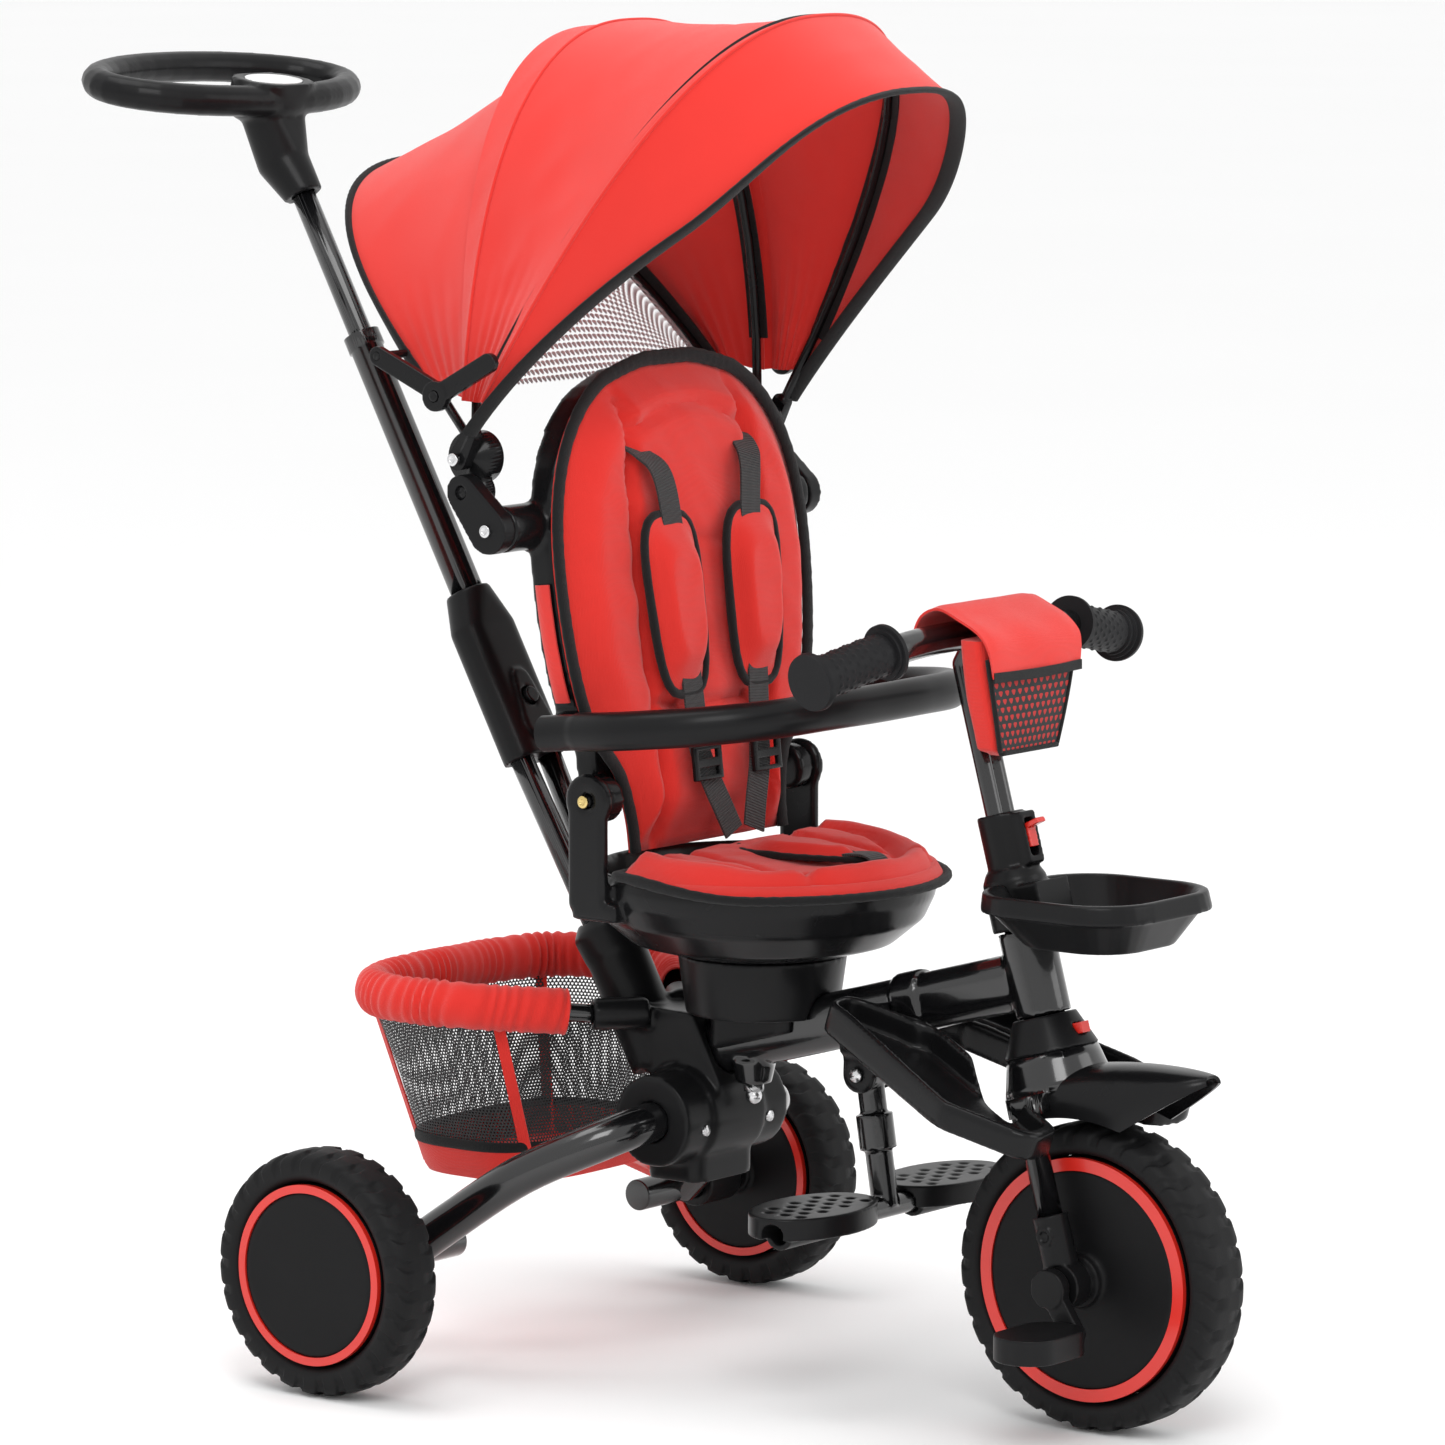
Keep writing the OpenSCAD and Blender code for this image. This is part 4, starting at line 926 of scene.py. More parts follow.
@dataclass(frozen=True)
class Mudguard:
    """Duck-billed guard over the front wheel, moulded in one piece under the fork crown."""

    clear: float = 117.0
    tip: float = 129.0
    half: float = 35.0
    lean: float = 15.6

    def build(self) -> Obj:
        """Lofts arched sections from behind the crown to the bill, and gives them a wall."""
        turn = np.radians(np.linspace(-90, 90, 57))
        rows = []
        for u in np.linspace(0, 1, 72):
            x = -20 + (self.tip + 20) * u
            top = 148.5 - 3 * u - 25.0 * u**2.3
            line = 97 + (116 - 97) * (x - 66) / (self.tip - 66)
            low = max(math.sqrt(max(self.clear**2 - x * x, 0.0)), line if x > 66 else 0.0)
            half = self.half * math.sqrt(max(1 - 0.955 * u**2.6, 0.02))
            y = half * squarish(np.sin(turn), 0.8)
            z = low + (max(top, low + 1.5) - low) * np.abs(np.cos(turn)) ** 0.62
            rows.append(np.stack([np.full_like(y, x), y, z], 1))
        local = np.array(rows)
        a = math.radians(self.lean)
        x = 399 + local[..., 0] * math.cos(a) - local[..., 2] * math.sin(a)
        z = 110 + local[..., 0] * math.sin(a) + local[..., 2] * math.cos(a)
        obj = lattice("front_mudguard", np.stack([x, local[..., 1], z], -1))
        modify(obj, "SOLIDIFY", thickness=2.2 * MM, offset=-1)
        soften(outward(obj), 50)
        return finish_piece(obj, Palette.SATIN, "steering", ["fender"])


def mirrored(points: Sequence[Sequence[float]]) -> list[list[float]]:
    """Returns the points of one side followed by the same on the other side."""
    near = [list(p) for p in points]
    return near + [[p[0], -p[1], p[2]] for p in reversed(near) if abs(p[1]) > 0.01]


@dataclass(frozen=True)
class Tubes:
    """Bent steel tubes: the rear axle arch and the handlebar."""

    radius: float = 15.0

    def rear(self) -> Obj:
        """Builds the arched tube of the rear axle with the sleeve at each end."""
        half = [
            (-104, -160, 91), (-72, -150, 116), (-20, -134, 153), (28, -100, 179), (40.5, -62, 187.5),
            (41, -30, 188), (41, 0, 188)
        ]
        tube = swept("arch", flow(mirrored(half), 6), self.radius - 0.3, 28)
        parts = [outward(tube)]
        for side in (-1, 1):
            parts.append(bevelled(rod(12, 116.6, (-106, side * 166.3, 90), (0, 1, 0), 40), 1.2))
        arch = merge("rear_axle_arch", *parts)
        soften(arch, 50)
        return finish_piece(arch, Palette.PAINT, "frame", ["rear_axle_tube"])

    def bar(self) -> Obj:
        """Builds the handlebar from a smoothed copy of its packed tube."""
        obj = rebuilt("handlebar", "handlebar_tube", 1.4, 4)
        return finish_piece(obj, Palette.PAINT, body_of("handlebar"), ["handlebar"])


@dataclass(frozen=True)
class Grips:
    """Rubber grips: a stepped end, a body covered in raised dots and a stepped inner flange."""

    radius: float = 15.2
    dots_round: int = 14
    dots_along: int = 9

    def profile(self, share: float, along: float) -> float:
        """Returns the radius at a share of the way, with `along` the grip's length in mm."""
        at = share * along
        end = along - at
        if at < 3.5:
            return 20.3
        if at < 7:
            return 18.2
        if end < 5:
            return 20.8 - 0.05 * max(0.0, 4 - end) ** 2
        if end < 9:
            return 18.6
        if end < 13:
            return 16.8
        return self.radius

    def one(self, side: int) -> Obj:
        """Builds the grip of one side."""
        node = frame["nodes"]["grips"]
        points = np.array([v.co for v in node.data.vertices]) / MM
        points = points[points[:, 1] * side > 0]
        low, high = np.abs(points[:, 1]).min(), np.abs(points[:, 1]).max()
        stations = []
        for y in np.linspace(low + 6, high - 6, 7):
            near = points[np.abs(np.abs(points[:, 1]) - y) < 12]
            stations.append(((near[:, 0].max() + near[:, 0].min()) / 2, side * y,
                (near[:, 2].max() + near[:, 2].min()) / 2))
        first, last = np.array(stations[0]), np.array(stations[-1])
        straight = (last - first) / np.linalg.norm(last - first)
        first = first - straight * (abs(first[1]) - low) * 0.96
        last = last + straight * (high - abs(last[1])) * 0.96
        path = first + np.linspace(0, 1, 150)[:, None] * (last - first)
        along = float(np.linalg.norm(last - first))
        sides = 84
        one, two = frames(path, (0, 0, 1), False)
        angle = np.linspace(0, 2 * math.pi, sides, endpoint=False)
        rows = []
        for i, point in enumerate(path):
            share = i / (len(path) - 1)
            radius = self.profile(share, along)
            at = (share * along - 8) / (along - 22)
            lift = 0.0
            if 0 < at < 1:
                cell = np.sin(angle * self.dots_round + (math.floor(at * self.dots_along) % 2) * math.pi)
                row = math.sin(at * self.dots_along * math.pi) ** 2
                lift = 1.0 * np.clip(cell * 1.4 - 0.4, 0, 1) * np.clip(row * 1.6 - 0.6, 0, 1)
            r = radius + lift
            rows.append(point + np.outer(np.cos(angle) * r, one[i]) + np.outer(np.sin(angle) * r, two[i]))
        return outward(lattice("grip", np.array(rows), ring=True, caps=True))

    def build(self) -> Obj:
        """Builds both grips as one piece."""
        both = merge("handlebar_grips", self.one(-1), self.one(1))
        soften(both, 45)
        return finish_piece(both, Palette.GRIP, body_of("grips"), ["grips"])


# ---------- soft goods ----------
HINGE = np.array([36.0, 0.0, 431.0])
LEAN = math.radians(6.5)


def on_back(x, y, z) -> np.ndarray:
    """Places points measured on the backrest (x out of its face, z up it) in the frame."""
    x, y, z = np.broadcast_arrays(np.asarray(x, float), y, z)
    return np.stack([HINGE[0] + x * math.cos(LEAN) - z * math.sin(LEAN), y,
        HINGE[2] + x * math.sin(LEAN) + z * math.cos(LEAN)], axis=-1)


BACK_SIDE = flow([(94, -14), (98, 16), (124, 50), (138, 96), (144, 160), (140, 212), (124, 256), (94, 290),
    (50, 309), (0, 314)], 6)


def back_half_width(height: np.ndarray) -> np.ndarray:
    """Returns the backrest's half width at a height over its hinge."""
    return np.interp(height, BACK_SIDE[:, 1], BACK_SIDE[:, 0])


def ease(value, low: float, high: float):
    """Smooth step from 0 at low to 1 at high."""
    t = np.clip((np.asarray(value, float) - low) / (high - low), 0, 1)
    return t * t * (3 - 2 * t)


def edge_round(outline: np.ndarray, rings: int) -> np.ndarray:
    """Rows of points from a closed flat outline in to its middle, packed towards the edge."""
    middle = outline.mean(axis=0)
    share = 1 - np.linspace(0, 1, rings) ** 0.85
    return middle + (outline[None] - middle) * share[:, None, None]


def crowned(outline: np.ndarray, height: Callable, count: int, under: float) -> np.ndarray:
    """Closed crowned form over a flat outline.

    Args:
        outline: points of the outline in the pad's plane.
        height: gives the front height for plane points and their share from edge to middle.
        count: the number of rings from the edge to the middle.
        under: the height of the flat underside.

    Returns:
        Rows of (u, v, height) from the middle of the back, round the edge, to the middle of the front.
    """
    rings = edge_round(outline, count)
    share = np.linspace(0, 1, count)[:, None] * np.ones((1, len(outline)))
    front = height(rings[..., 0], rings[..., 1], share)
    top = np.concatenate([rings, front[..., None]], axis=2)
    back = np.concatenate([rings, np.full_like(front, under)[..., None]], axis=2)
    return np.concatenate([back[::-1], top], axis=0)


def uneven(u: np.ndarray, v: np.ndarray, scale: float, seed: int) -> np.ndarray:
    """Returns the wobble of points in a pad's plane."""
    return wobble(np.stack([u, v, u * 0], -1), scale, seed)


def channel(distance, width: float = 3.2):
    """Dip of a sewn channel: 1 on the seam, 0 away from it."""
    return np.exp(-((np.asarray(distance, float) / width) ** 2))


@dataclass(frozen=True)
class Liner:
    """Quilted cushion of the seat: a back part, a seat part, and a black edge binding."""

    seam_at: float = 62.0

    def back(self) -> Obj:
        """Builds the back part."""
        z = np.concatenate([np.linspace(-42, 300, 96), np.linspace(302, 311.5, 16)])
        half = back_half_width(z) - 1.5 - 6.0 * (1 - ease(z, -30, 20))
        half = np.where(z > 300, half * np.sqrt(np.clip((313.5 - z) / 13.5, 0.02, 1)) ** 0.35, half)
        bottom = np.linspace(-half[0], half[0], 28)[1:-1]
        top = np.linspace(half[-1], -half[-1], 18)[1:-1]
        outline = np.concatenate([
            np.stack([half, z], 1), np.stack([top, np.full_like(top, z[-1])], 1),
            np.stack([-half[::-1], z[::-1]], 1), np.stack([bottom, np.full_like(bottom, z[0])], 1),
        ])

        def height(y, z, share):
            """Crown with two long channels, a waist seam and slots for the straps."""
            crown = 4 + 20 * ease(share, 0, 0.15) ** 0.8
            side = self.seam_at + 12 * np.sin(np.clip((z - 20) / 290, 0, 1) * math.pi)
            dip = 12.0 * channel(np.abs(y) - side, 4.6) * (1 - ease(z, 276, 300))
            waist = 8.0 * channel(z - 58 - 14 * (np.abs(y) / 90) ** 2, 5.5) * (
                1 - ease(np.abs(y), side - 4, side + 8)
            )
            top = 7.0 * channel(z - 278 + 16 * (y / 60) ** 2, 4.6) * (
                1 - ease(np.abs(y), side - 6, side + 4)
            )
            middle = 6.0 * channel(z - 170 - 8 * np.cos(y / 34), 5.0) * (
                1 - ease(np.abs(y), side - 10, side)
            )
            top = np.maximum(top, middle * 0.5)
            fill = 1.6 * uneven(y, z, 85, 4) + 0.7 * uneven(y, z, 30, 9)
            pull = 1.2 * np.cos(z / 5.6) * channel(np.abs(y) - side, 12) * ease(share, 0.05, 0.2)
            sunk = np.maximum(np.maximum(dip, waist), top)
            return np.maximum(crown - sunk + (fill + pull) * ease(share, 0, 0.12), 2.0)

        grid = crowned(outline, height, 40, 0.4)
        rows = on_back(grid[..., 2], -grid[..., 0], grid[..., 1])
        obj = outward(lattice("back_cushion", rows, ring=True, caps=True))
        soften(obj, 75)
        obj = finish_piece(obj, Palette.CLOTH, None, ["back_pad"])
        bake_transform(obj)
        edge = outline[:-26]
        border = on_back(8.0, -edge[:, 0] * 1.012, edge[:, 1] + 0.8 * ease(edge[:, 1], 280, 310))
        cord = self.piping("back_cushion_binding", border, None)
        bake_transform(cord)
        return obj

    def piping(self, name: str, path: np.ndarray, body: str | None, half: tuple[float, float] = (5.5, 3.2),
        loop: bool = False) -> Obj:
        """Sews the folded binding round an edge, with small puckers."""
        cord = swept(
            name, path, lambda t: (half[0] + 0.25 * math.sin(t * 410), half[1] + 0.2 * math.sin(t * 530)),
            14, (1, 0.05, 0.1), loop
        )
        return finish_piece(outward(cord), Palette.BINDING, body)

    def seat(self) -> Obj:
        """Builds the seat part, which fills the pan and stands over its rim."""
        rings, radius = 36, 132.5
        angle = np.linspace(-130, 130, 120)
        arc = np.stack([97 + radius * np.cos(np.radians(angle)), radius * np.sin(np.radians(angle))], 1)
        arc[:, 0] = np.maximum(arc[:, 0], 64.0)
        line = np.linspace(arc[-1, 1], arc[0, 1], 40)[1:-1]
        outline = np.concatenate([arc, np.stack([np.full_like(line, 64.0), line], 1)])

        def height(x, y, share):
            """Dished crown with radiating channels and a raised front lip."""
            reach = np.hypot(x - 97, y)
            crown = 3 + 9 * ease(share, 0, 0.14) - 3.0 * ease(share, 0.3, 0.9)
            channels = 7.0 * channel(np.abs(y) - 60 - 0.06 * (x - 64), 4.6)
            channels = channels + 6.0 * channel(reach - 98, 4.6) * (x > 70)
            fill = 1.5 * uneven(x, y, 75, 14) + 0.6 * uneven(x, y, 26, 19)
            return np.maximum(crown - np.minimum(channels, 8) + fill * ease(share, 0, 0.15), 2.0)

        grid = crowned(outline, height, rings, 0.4)
        reach = np.hypot(grid[..., 0] - 97, grid[..., 1])
        base = 371.0 + 7.0 * ease(reach, 95, 118) - 11.0 * ease(reach, 116, 131) * ease(
            grid[..., 0], 60, 170
        )
        base = base + 9.0 * (1 - ease(grid[..., 0], 64, 190)) * ease(127 - reach, 0, 20)
        rows = np.stack([grid[..., 0], grid[..., 1], base + grid[..., 2]], -1)
        inner, near = rows[:rings], reach[:rings]
        rim_drop = 9.0 * ease(near, 127.6, 131) * ease(inner[..., 0], 60, 170)
        inner[..., 2] = 352 + 26.0 * ease(near, 92, 112) - rim_drop
        obj = outward(lattice("seat_cushion", rows, ring=True, caps=True))
        soften(obj, 75)
        obj = finish_piece(obj, Palette.CLOTH, "seat", ["seat_pad"])
        edge = np.stack(
            [97 + (arc[:, 0] - 97) * 1.01, arc[:, 1] * 1.01, 380.0 - 11.0 * ease(arc[:, 0], 60, 170)], 1
        )
        self.piping("seat_cushion_binding", edge, "seat", (3.4, 4.2))
        return obj

    def cover(self) -> Obj:
        """Builds the cloth pocket that holds the cushion over the back of the shell."""
        z = np.linspace(72, 158, 34)
        half = back_half_width(z)
        around = np.linspace(0, math.pi, 60)
        rows = []
        for height, w in zip(z, half):
            y = w * squarish(np.cos(around), 0.3) + 2.0 * np.sign(np.cos(around))
            x = -2 - 24 * np.abs(np.sin(around)) ** 0.5
            ripple = 0.7 * wobble(np.stack([x, y, y * 0 + height], -1), 42, 3) * np.sin(
                (height - 72) / 86 * math.pi
            )
            rows.append(on_back(x - np.abs(ripple) * 0.6, y, height))
        obj = lattice("back_cover_pocket", np.array(rows))
        modify(obj, "SOLIDIFY", thickness=1.4 * MM, offset=0)
        outward(obj)
        soften(obj, 60)
        obj = finish_piece(obj, Palette.CLOTH, "back", ["back_pocket"])
        return obj


@dataclass(frozen=True)
class Harness:
    """Five-point harness: straps, shoulder pads, slider buckles and the crotch pad."""

    strap: float = 22.0
    pad_half: float = 28.5
    pad_reach: float = 65.0

    def straps(self) -> Obj:
        """Builds the two shoulder straps, from the slots down to the crotch pad, as one piece."""
        parts = []
        for side in (-1, 1):
            points = [
                (12, 64, 252), (25, 60, 244), (35, 52, 228), (36, 46, 190), (36, 42, 120), (35, 38, 60),
                (34, 36, 30), (36, 30, 8), (38, 20, -16), (40, 12, -36)
            ]
            path = flow([on_back(x, side * y, z) for x, y, z in points], 8)
            parts.append(ribbon("strap", path, self.strap, 1.6, (0, 1, 0.05 * side)))
        obj = merge("shoulder_straps", *parts)
        obj = finish_piece(obj, Palette.STRAP, "back", ["harness"])
        return obj

    def pad(self, side: int) -> Obj:
        """Builds one padded shoulder sleeve with its piping."""
        t = np.linspace(0, 2 * math.pi, 88, endpoint=False)
        y = self.pad_half * squarish(np.cos(t), 0.55)
        z = self.pad_reach * squarish(np.sin(t), 0.6)
        y = y * (1 + 0.10 * z / 62)
        outline = np.stack([y, z], 1)

        def crown(u, v, share):
            """Rises from a thin edge to a full middle."""
            return 3 + 13.5 * ease(share, 0, 0.4) + 0.6 * uneven(u, v, 34, 21 + side)

        grid = crowned(outline, crown, 18, -1.0)
        lift = 30.5 + 2.0 * ease(grid[..., 1], 30, 62)
        rows = on_back(
            lift + grid[..., 2], side * 46.0 + side * 0.05 * grid[..., 1] - grid[..., 0], 134 + grid[..., 1]
        )
        body = outward(lattice("shoulder_pad", rows, ring=True, caps=True))
        edge = on_back(33.0, side * 46.0 + side * 0.05 * z - y * 1.02, 134 + z * 1.01)
        name = "right" if side < 0 else "left"
        body = finish_piece(
            soften(named(body, f"shoulder_pad_{name}"), 70), Palette.CLOTH, "back"
        )
        Liner().piping(f"shoulder_pad_piping_{name}", edge, "back", (3.4, 3.2), True)
        return body

    def buckle(self, side: int) -> Obj:
        """Builds a three-bar slider buckle from a bevelled, holed plate."""
        plate = cube((4.5, 32, 25), (0, 0, 0))
        for z in (-6.2, 6.2):
            hole = cube((12, 23, 6.0), (0, 0, z))
            modify(plate, "BOOLEAN", operation="DIFFERENCE", object=hole, solver="EXACT")
            bpy.data.objects.remove(hole)
        bevelled(plate, 1.1, 3)
        centre = on_back(39.5, side * 35.0, 17.0)
        plate.data.transform(Matrix.Translation(Vector(centre) * MM) @ Matrix.Rotation(-LEAN, 4, "Y"))
        name = "right" if side < 0 else "left"
        return finish_piece(named(plate, f"slider_buckle_{name}"), Palette.SATIN, "back")

    def crotch(self) -> Obj:
        """Builds the teardrop pad between the legs, with black edging and a strap loop."""
        t = np.linspace(0, 2 * math.pi, 96, endpoint=False)
        x = 136 + 56 * np.cos(t)
        y = np.sin(t) * (21 - 9.5 * np.cos(t)) * 1.05
        outline = np.stack([x, y], 1)

        def crown(u, v, share):
            """Rises from a thin edge to a full middle."""
            return 385 + (3.0 + 9.0 * ease(share, 0, 0.4) + 0.5 * uneven(u, v, 30, 31))

        obj = outward(lattice("crotch_cushion", crowned(outline, crown, 18, 385.5), ring=True, caps=True))
        obj = finish_piece(soften(obj, 70), Palette.CLOTH, "seat", ["crotch_pad"])
        edge = np.stack([136 + (x - 136) * 1.03, y * 1.05, np.full_like(x, 388.0)], 1)
        Liner().piping("crotch_cushion_edging", edge, "seat", (2.4, 3.0), True)
        path = flow([(176, 0, 391), (194, 0, 392), (203, 0, 388), (201, 0, 384), (188, 0, 383.4)], 8)
        loop = ribbon("crotch_strap_loop", path, 19, 1.6)
        finish_piece(loop, Palette.STRAP, "seat")
        return obj


@dataclass(frozen=True)
class GuardBar:
    """Padded safety bar round the seat, with a seam line and stepped ends."""

    radius: float = 14.0
    depth: float = 12.6
    seam: float = 0.055
    half: float = 164.0
    height: float = 484.0

    def build(self) -> list[Obj]:
        """Builds the bar, its joint collars and its release button."""
        z, h = self.height, self.half
        near = [
            (14, -h, z - 2), (26, -h, z - 1), (52, -h, z + 2), (100, -h - 2, z + 7), (150, 16 - h, z + 12),
            (186, 56 - h, z + 16), (198, -52, z + 18), (200, 0, z + 18)
        ]
        path = flow(mirrored(near), 12)[12:-12]
        one, two = frames(path, (0, 0, 1), False)
        angle = np.linspace(0, 2 * math.pi, 56, endpoint=False)
        c, q = np.cos(angle), np.sin(angle)
        rows = []
        for i, p in enumerate(path):
            end = min(i, len(path) - 1 - i)
            step = 1.0 if end > 13 else 0.93
            groove = 1.0 - self.seam * (channel(q, 0.07) * (c > 0))
            wide, high = c * self.depth * step * groove, q * self.radius * step * groove
            rows.append(p + np.outer(wide, one[i]) + np.outer(high, two[i]))
        bar = outward(lattice("safety_bar", np.array(rows), ring=True, caps=True))
        soften(bar, 50)
        finish_piece(bar, Palette.PLASTIC, "guard", ["guard_bar"])
        pieces = [bar]
        for side in (-1, 1):
            name = "right" if side < 0 else "left"
            pin = merge(f"safety_bar_pin_{name}", rod(4, 29, (42, side * (h - 20.5), 483)))
            pieces.append(finish_piece(soften(pin), Palette.STEEL, "guard"))
            button = bevelled(cube((11, 5, 9), (176, side * 120, 504)), 1.4)
            at = Vector((176.0, side * 120.0, 0)) * MM
            turn = Matrix.Rotation(math.radians(-38 * side), 4, "Z")
            turn = Matrix.Translation(at) @ turn @ Matrix.Translation(-at)
            button.data.transform(Matrix.Translation(Vector((5.6, side * 6.6, -4)) * MM) @ turn)
            pieces.append(finish_piece(named(button, f"safety_bar_catch_{name}"), Palette.SATIN, "guard"))
        return pieces


@dataclass(frozen=True)
class Basket:
    """Rear basket: gathered red sleeve on the hoop, black net sides, red floor and tapes."""

    hoop: float = 268.0
    floor: float = 134.0
    squareness: float = 0.62

    def ring(self, share: float, count: int = 240) -> np.ndarray:
        """Outline of the basket at a share of the way down from the hoop."""
        t = np.linspace(0, 2 * math.pi, count, endpoint=False)
        c, q = squarish(np.cos(t), self.squareness), squarish(np.sin(t), self.squareness)
        x = -132 + 20 * share + (73 - 11 * share) * c
        y = (120 - 32 * share) * q
        z = self.hoop - 14 - (self.hoop - 14 - self.floor) * share
        return np.stack([x, y, np.full_like(x, z)], 1)

    def sleeve(self) -> Obj:
        """Builds the gathered cloth round the hoop, with a deep pucker every few millimetres."""
        half = [
            (-34, -66, 262.5), (-46, -80, 264), (-70, -101, 266), (-96, -118, 268), (-150, -122, 268),
            (-188, -104, 268), (-203, -60, 268), (-206, 0, 268)
        ]
        path = flow(mirrored(half), 28)
        one, two = frames(path, (0, 0, 1), False)
        angle = np.linspace(0, 2 * math.pi, 40, endpoint=False)
        rng = np.random.default_rng(5)
        along = np.concatenate([[0], np.cumsum(np.linalg.norm(np.diff(path, axis=0), axis=1))])
        phase = along / 9.5 * 2 * math.pi + 2.6 * np.sin(along / 23.0) + 1.9 * np.sin(along / 9.0 + 1)
        depth = 1.0 + 0.8 * np.sin(along / 31.0 + rng.uniform(0, 6)) * np.sin(along / 13.0)
        rows = []
        for i, p in enumerate(path):
            c, q = np.cos(angle), np.sin(angle)
            fold = depth[i] * np.sin(phase[i] + 1.3 * q + 0.6 * np.sin(2 * angle))
            fold = fold * (0.55 + 0.45 * np.abs(c))
            rows.append(p + np.outer(c * (13.0 + fold), one[i]) + np.outer(q * (17.0 + fold), two[i]))
        obj = lattice("basket_rim_sleeve", np.array(rows), ring=True)
        modify(obj, "SOLIDIFY", thickness=1.4 * MM, offset=-1)
        soften(outward(obj), 70)
        obj = finish_piece(obj, Palette.CLOTH, "frame", ["basket_sleeve"])
        return obj

    def net(self) -> Obj:
        """Builds the net wall: one sheet that hangs from the sleeve and sags a little."""
        shares = np.linspace(0.0, 1.0, 28)
        rows = []
        for s in shares:
            ring = self.ring(s)
            middle = ring.mean(axis=0)
            sag = 2.4 * math.sin(s * math.pi) * (0.7 + 0.5 * wobble(ring, 90, 6))
            way = ring - middle
            way /= np.linalg.norm(way, axis=1, keepdims=True)
            rows.append(ring - way * np.abs(sag)[:, None])
        obj = lattice("basket_net_wall", np.array(rows), ring=True)
        self.wrap_uv(obj, np.array(rows))
        obj = finish_piece(obj, Palette.NET, "frame", ["basket_net"])
        return obj

    def wrap_uv(self, obj: Obj, rows: np.ndarray) -> None:
        """Gives a closed wall a UV map in metres that doesn't run back at its seam."""
        round_step = np.linalg.norm(np.roll(rows, -1, axis=1) - rows, axis=2).mean(axis=0)
        u = np.concatenate([[0], np.cumsum(round_step)]) * MM
        v = np.linspace(0, 0.122, len(rows))
        width = rows.shape[1]
        layer = obj.data.uv_layers.active
        for face in obj.data.polygons:
            cols = [obj.data.loops[k].vertex_index % width for k in face.loop_indices]
            last = max(cols) - min(cols) > width / 2
            for k in face.loop_indices:
                at = obj.data.loops[k].vertex_index
                col = at % width
                layer.data[k].uv = (u[width] if last and col == 0 else u[col], v[at // width])

    def floor_sheet(self) -> Obj:
        """Builds the red floor with its turned-up skirt."""
        rows = []
        for share, grow in ((0.80, 1.2), (0.9, 1.2), (0.97, 1.0), (1.0, 0.0)):
            ring = self.ring(share)
            middle = ring.mean(axis=0)
            way = ring - middle
            rows.append(ring + way / np.linalg.norm(way, axis=1, keepdims=True) * grow)
        base = self.ring(1.0)
        middle = base.mean(axis=0)
        for f in np.linspace(0.94, 0.0, 14):
            ring = middle + (base - middle) * f
            ring[:, 2] = self.floor + 0.6 - 1.2 * (1 - f) ** 0.5 + 0.5 * wobble(ring, 60, 8)
            rows.append(ring)
        obj = lattice("basket_floor", np.array(rows), ring=True)
        modify(obj, "SOLIDIFY", thickness=1.6 * MM, offset=0)
        outward(obj)
        soften(obj, 60)
        obj = finish_piece(obj, Palette.CLOTH, "frame")
        return obj

    def tapes(self) -> list[Obj]:
        """Builds the red tapes up the four corners and the black hem above the floor."""
        parts = []
        for k in (0.125, 0.375, 0.625, 0.875):
            path = []
            for s in np.linspace(0.02, 0.97, 22):
                ring = self.ring(s)
                p = ring[int(k * len(ring))]
                way = p - ring.mean(axis=0)
                path.append(p + way / np.linalg.norm(way) * 1.1)
            way = np.array(path[0]) - self.ring(0).mean(axis=0)
            parts.append(ribbon("tape", np.array(path), 8.5, 1.2, (-way[1], way[0], 0)))
        tapes = finish_piece(merge("basket_corner_tapes", *parts), Palette.CLOTH, "frame")
        ring = self.ring(0.79)
        way = ring - ring.mean(axis=0)
        path = ring + way / np.linalg.norm(way, axis=1, keepdims=True)
        hem = finish_piece(
            outward(swept("basket_hem", path, (1.4, 4.0), 12, (0, 0, 1), True)), Palette.BINDING, "frame",
        )
        return [tapes, hem]


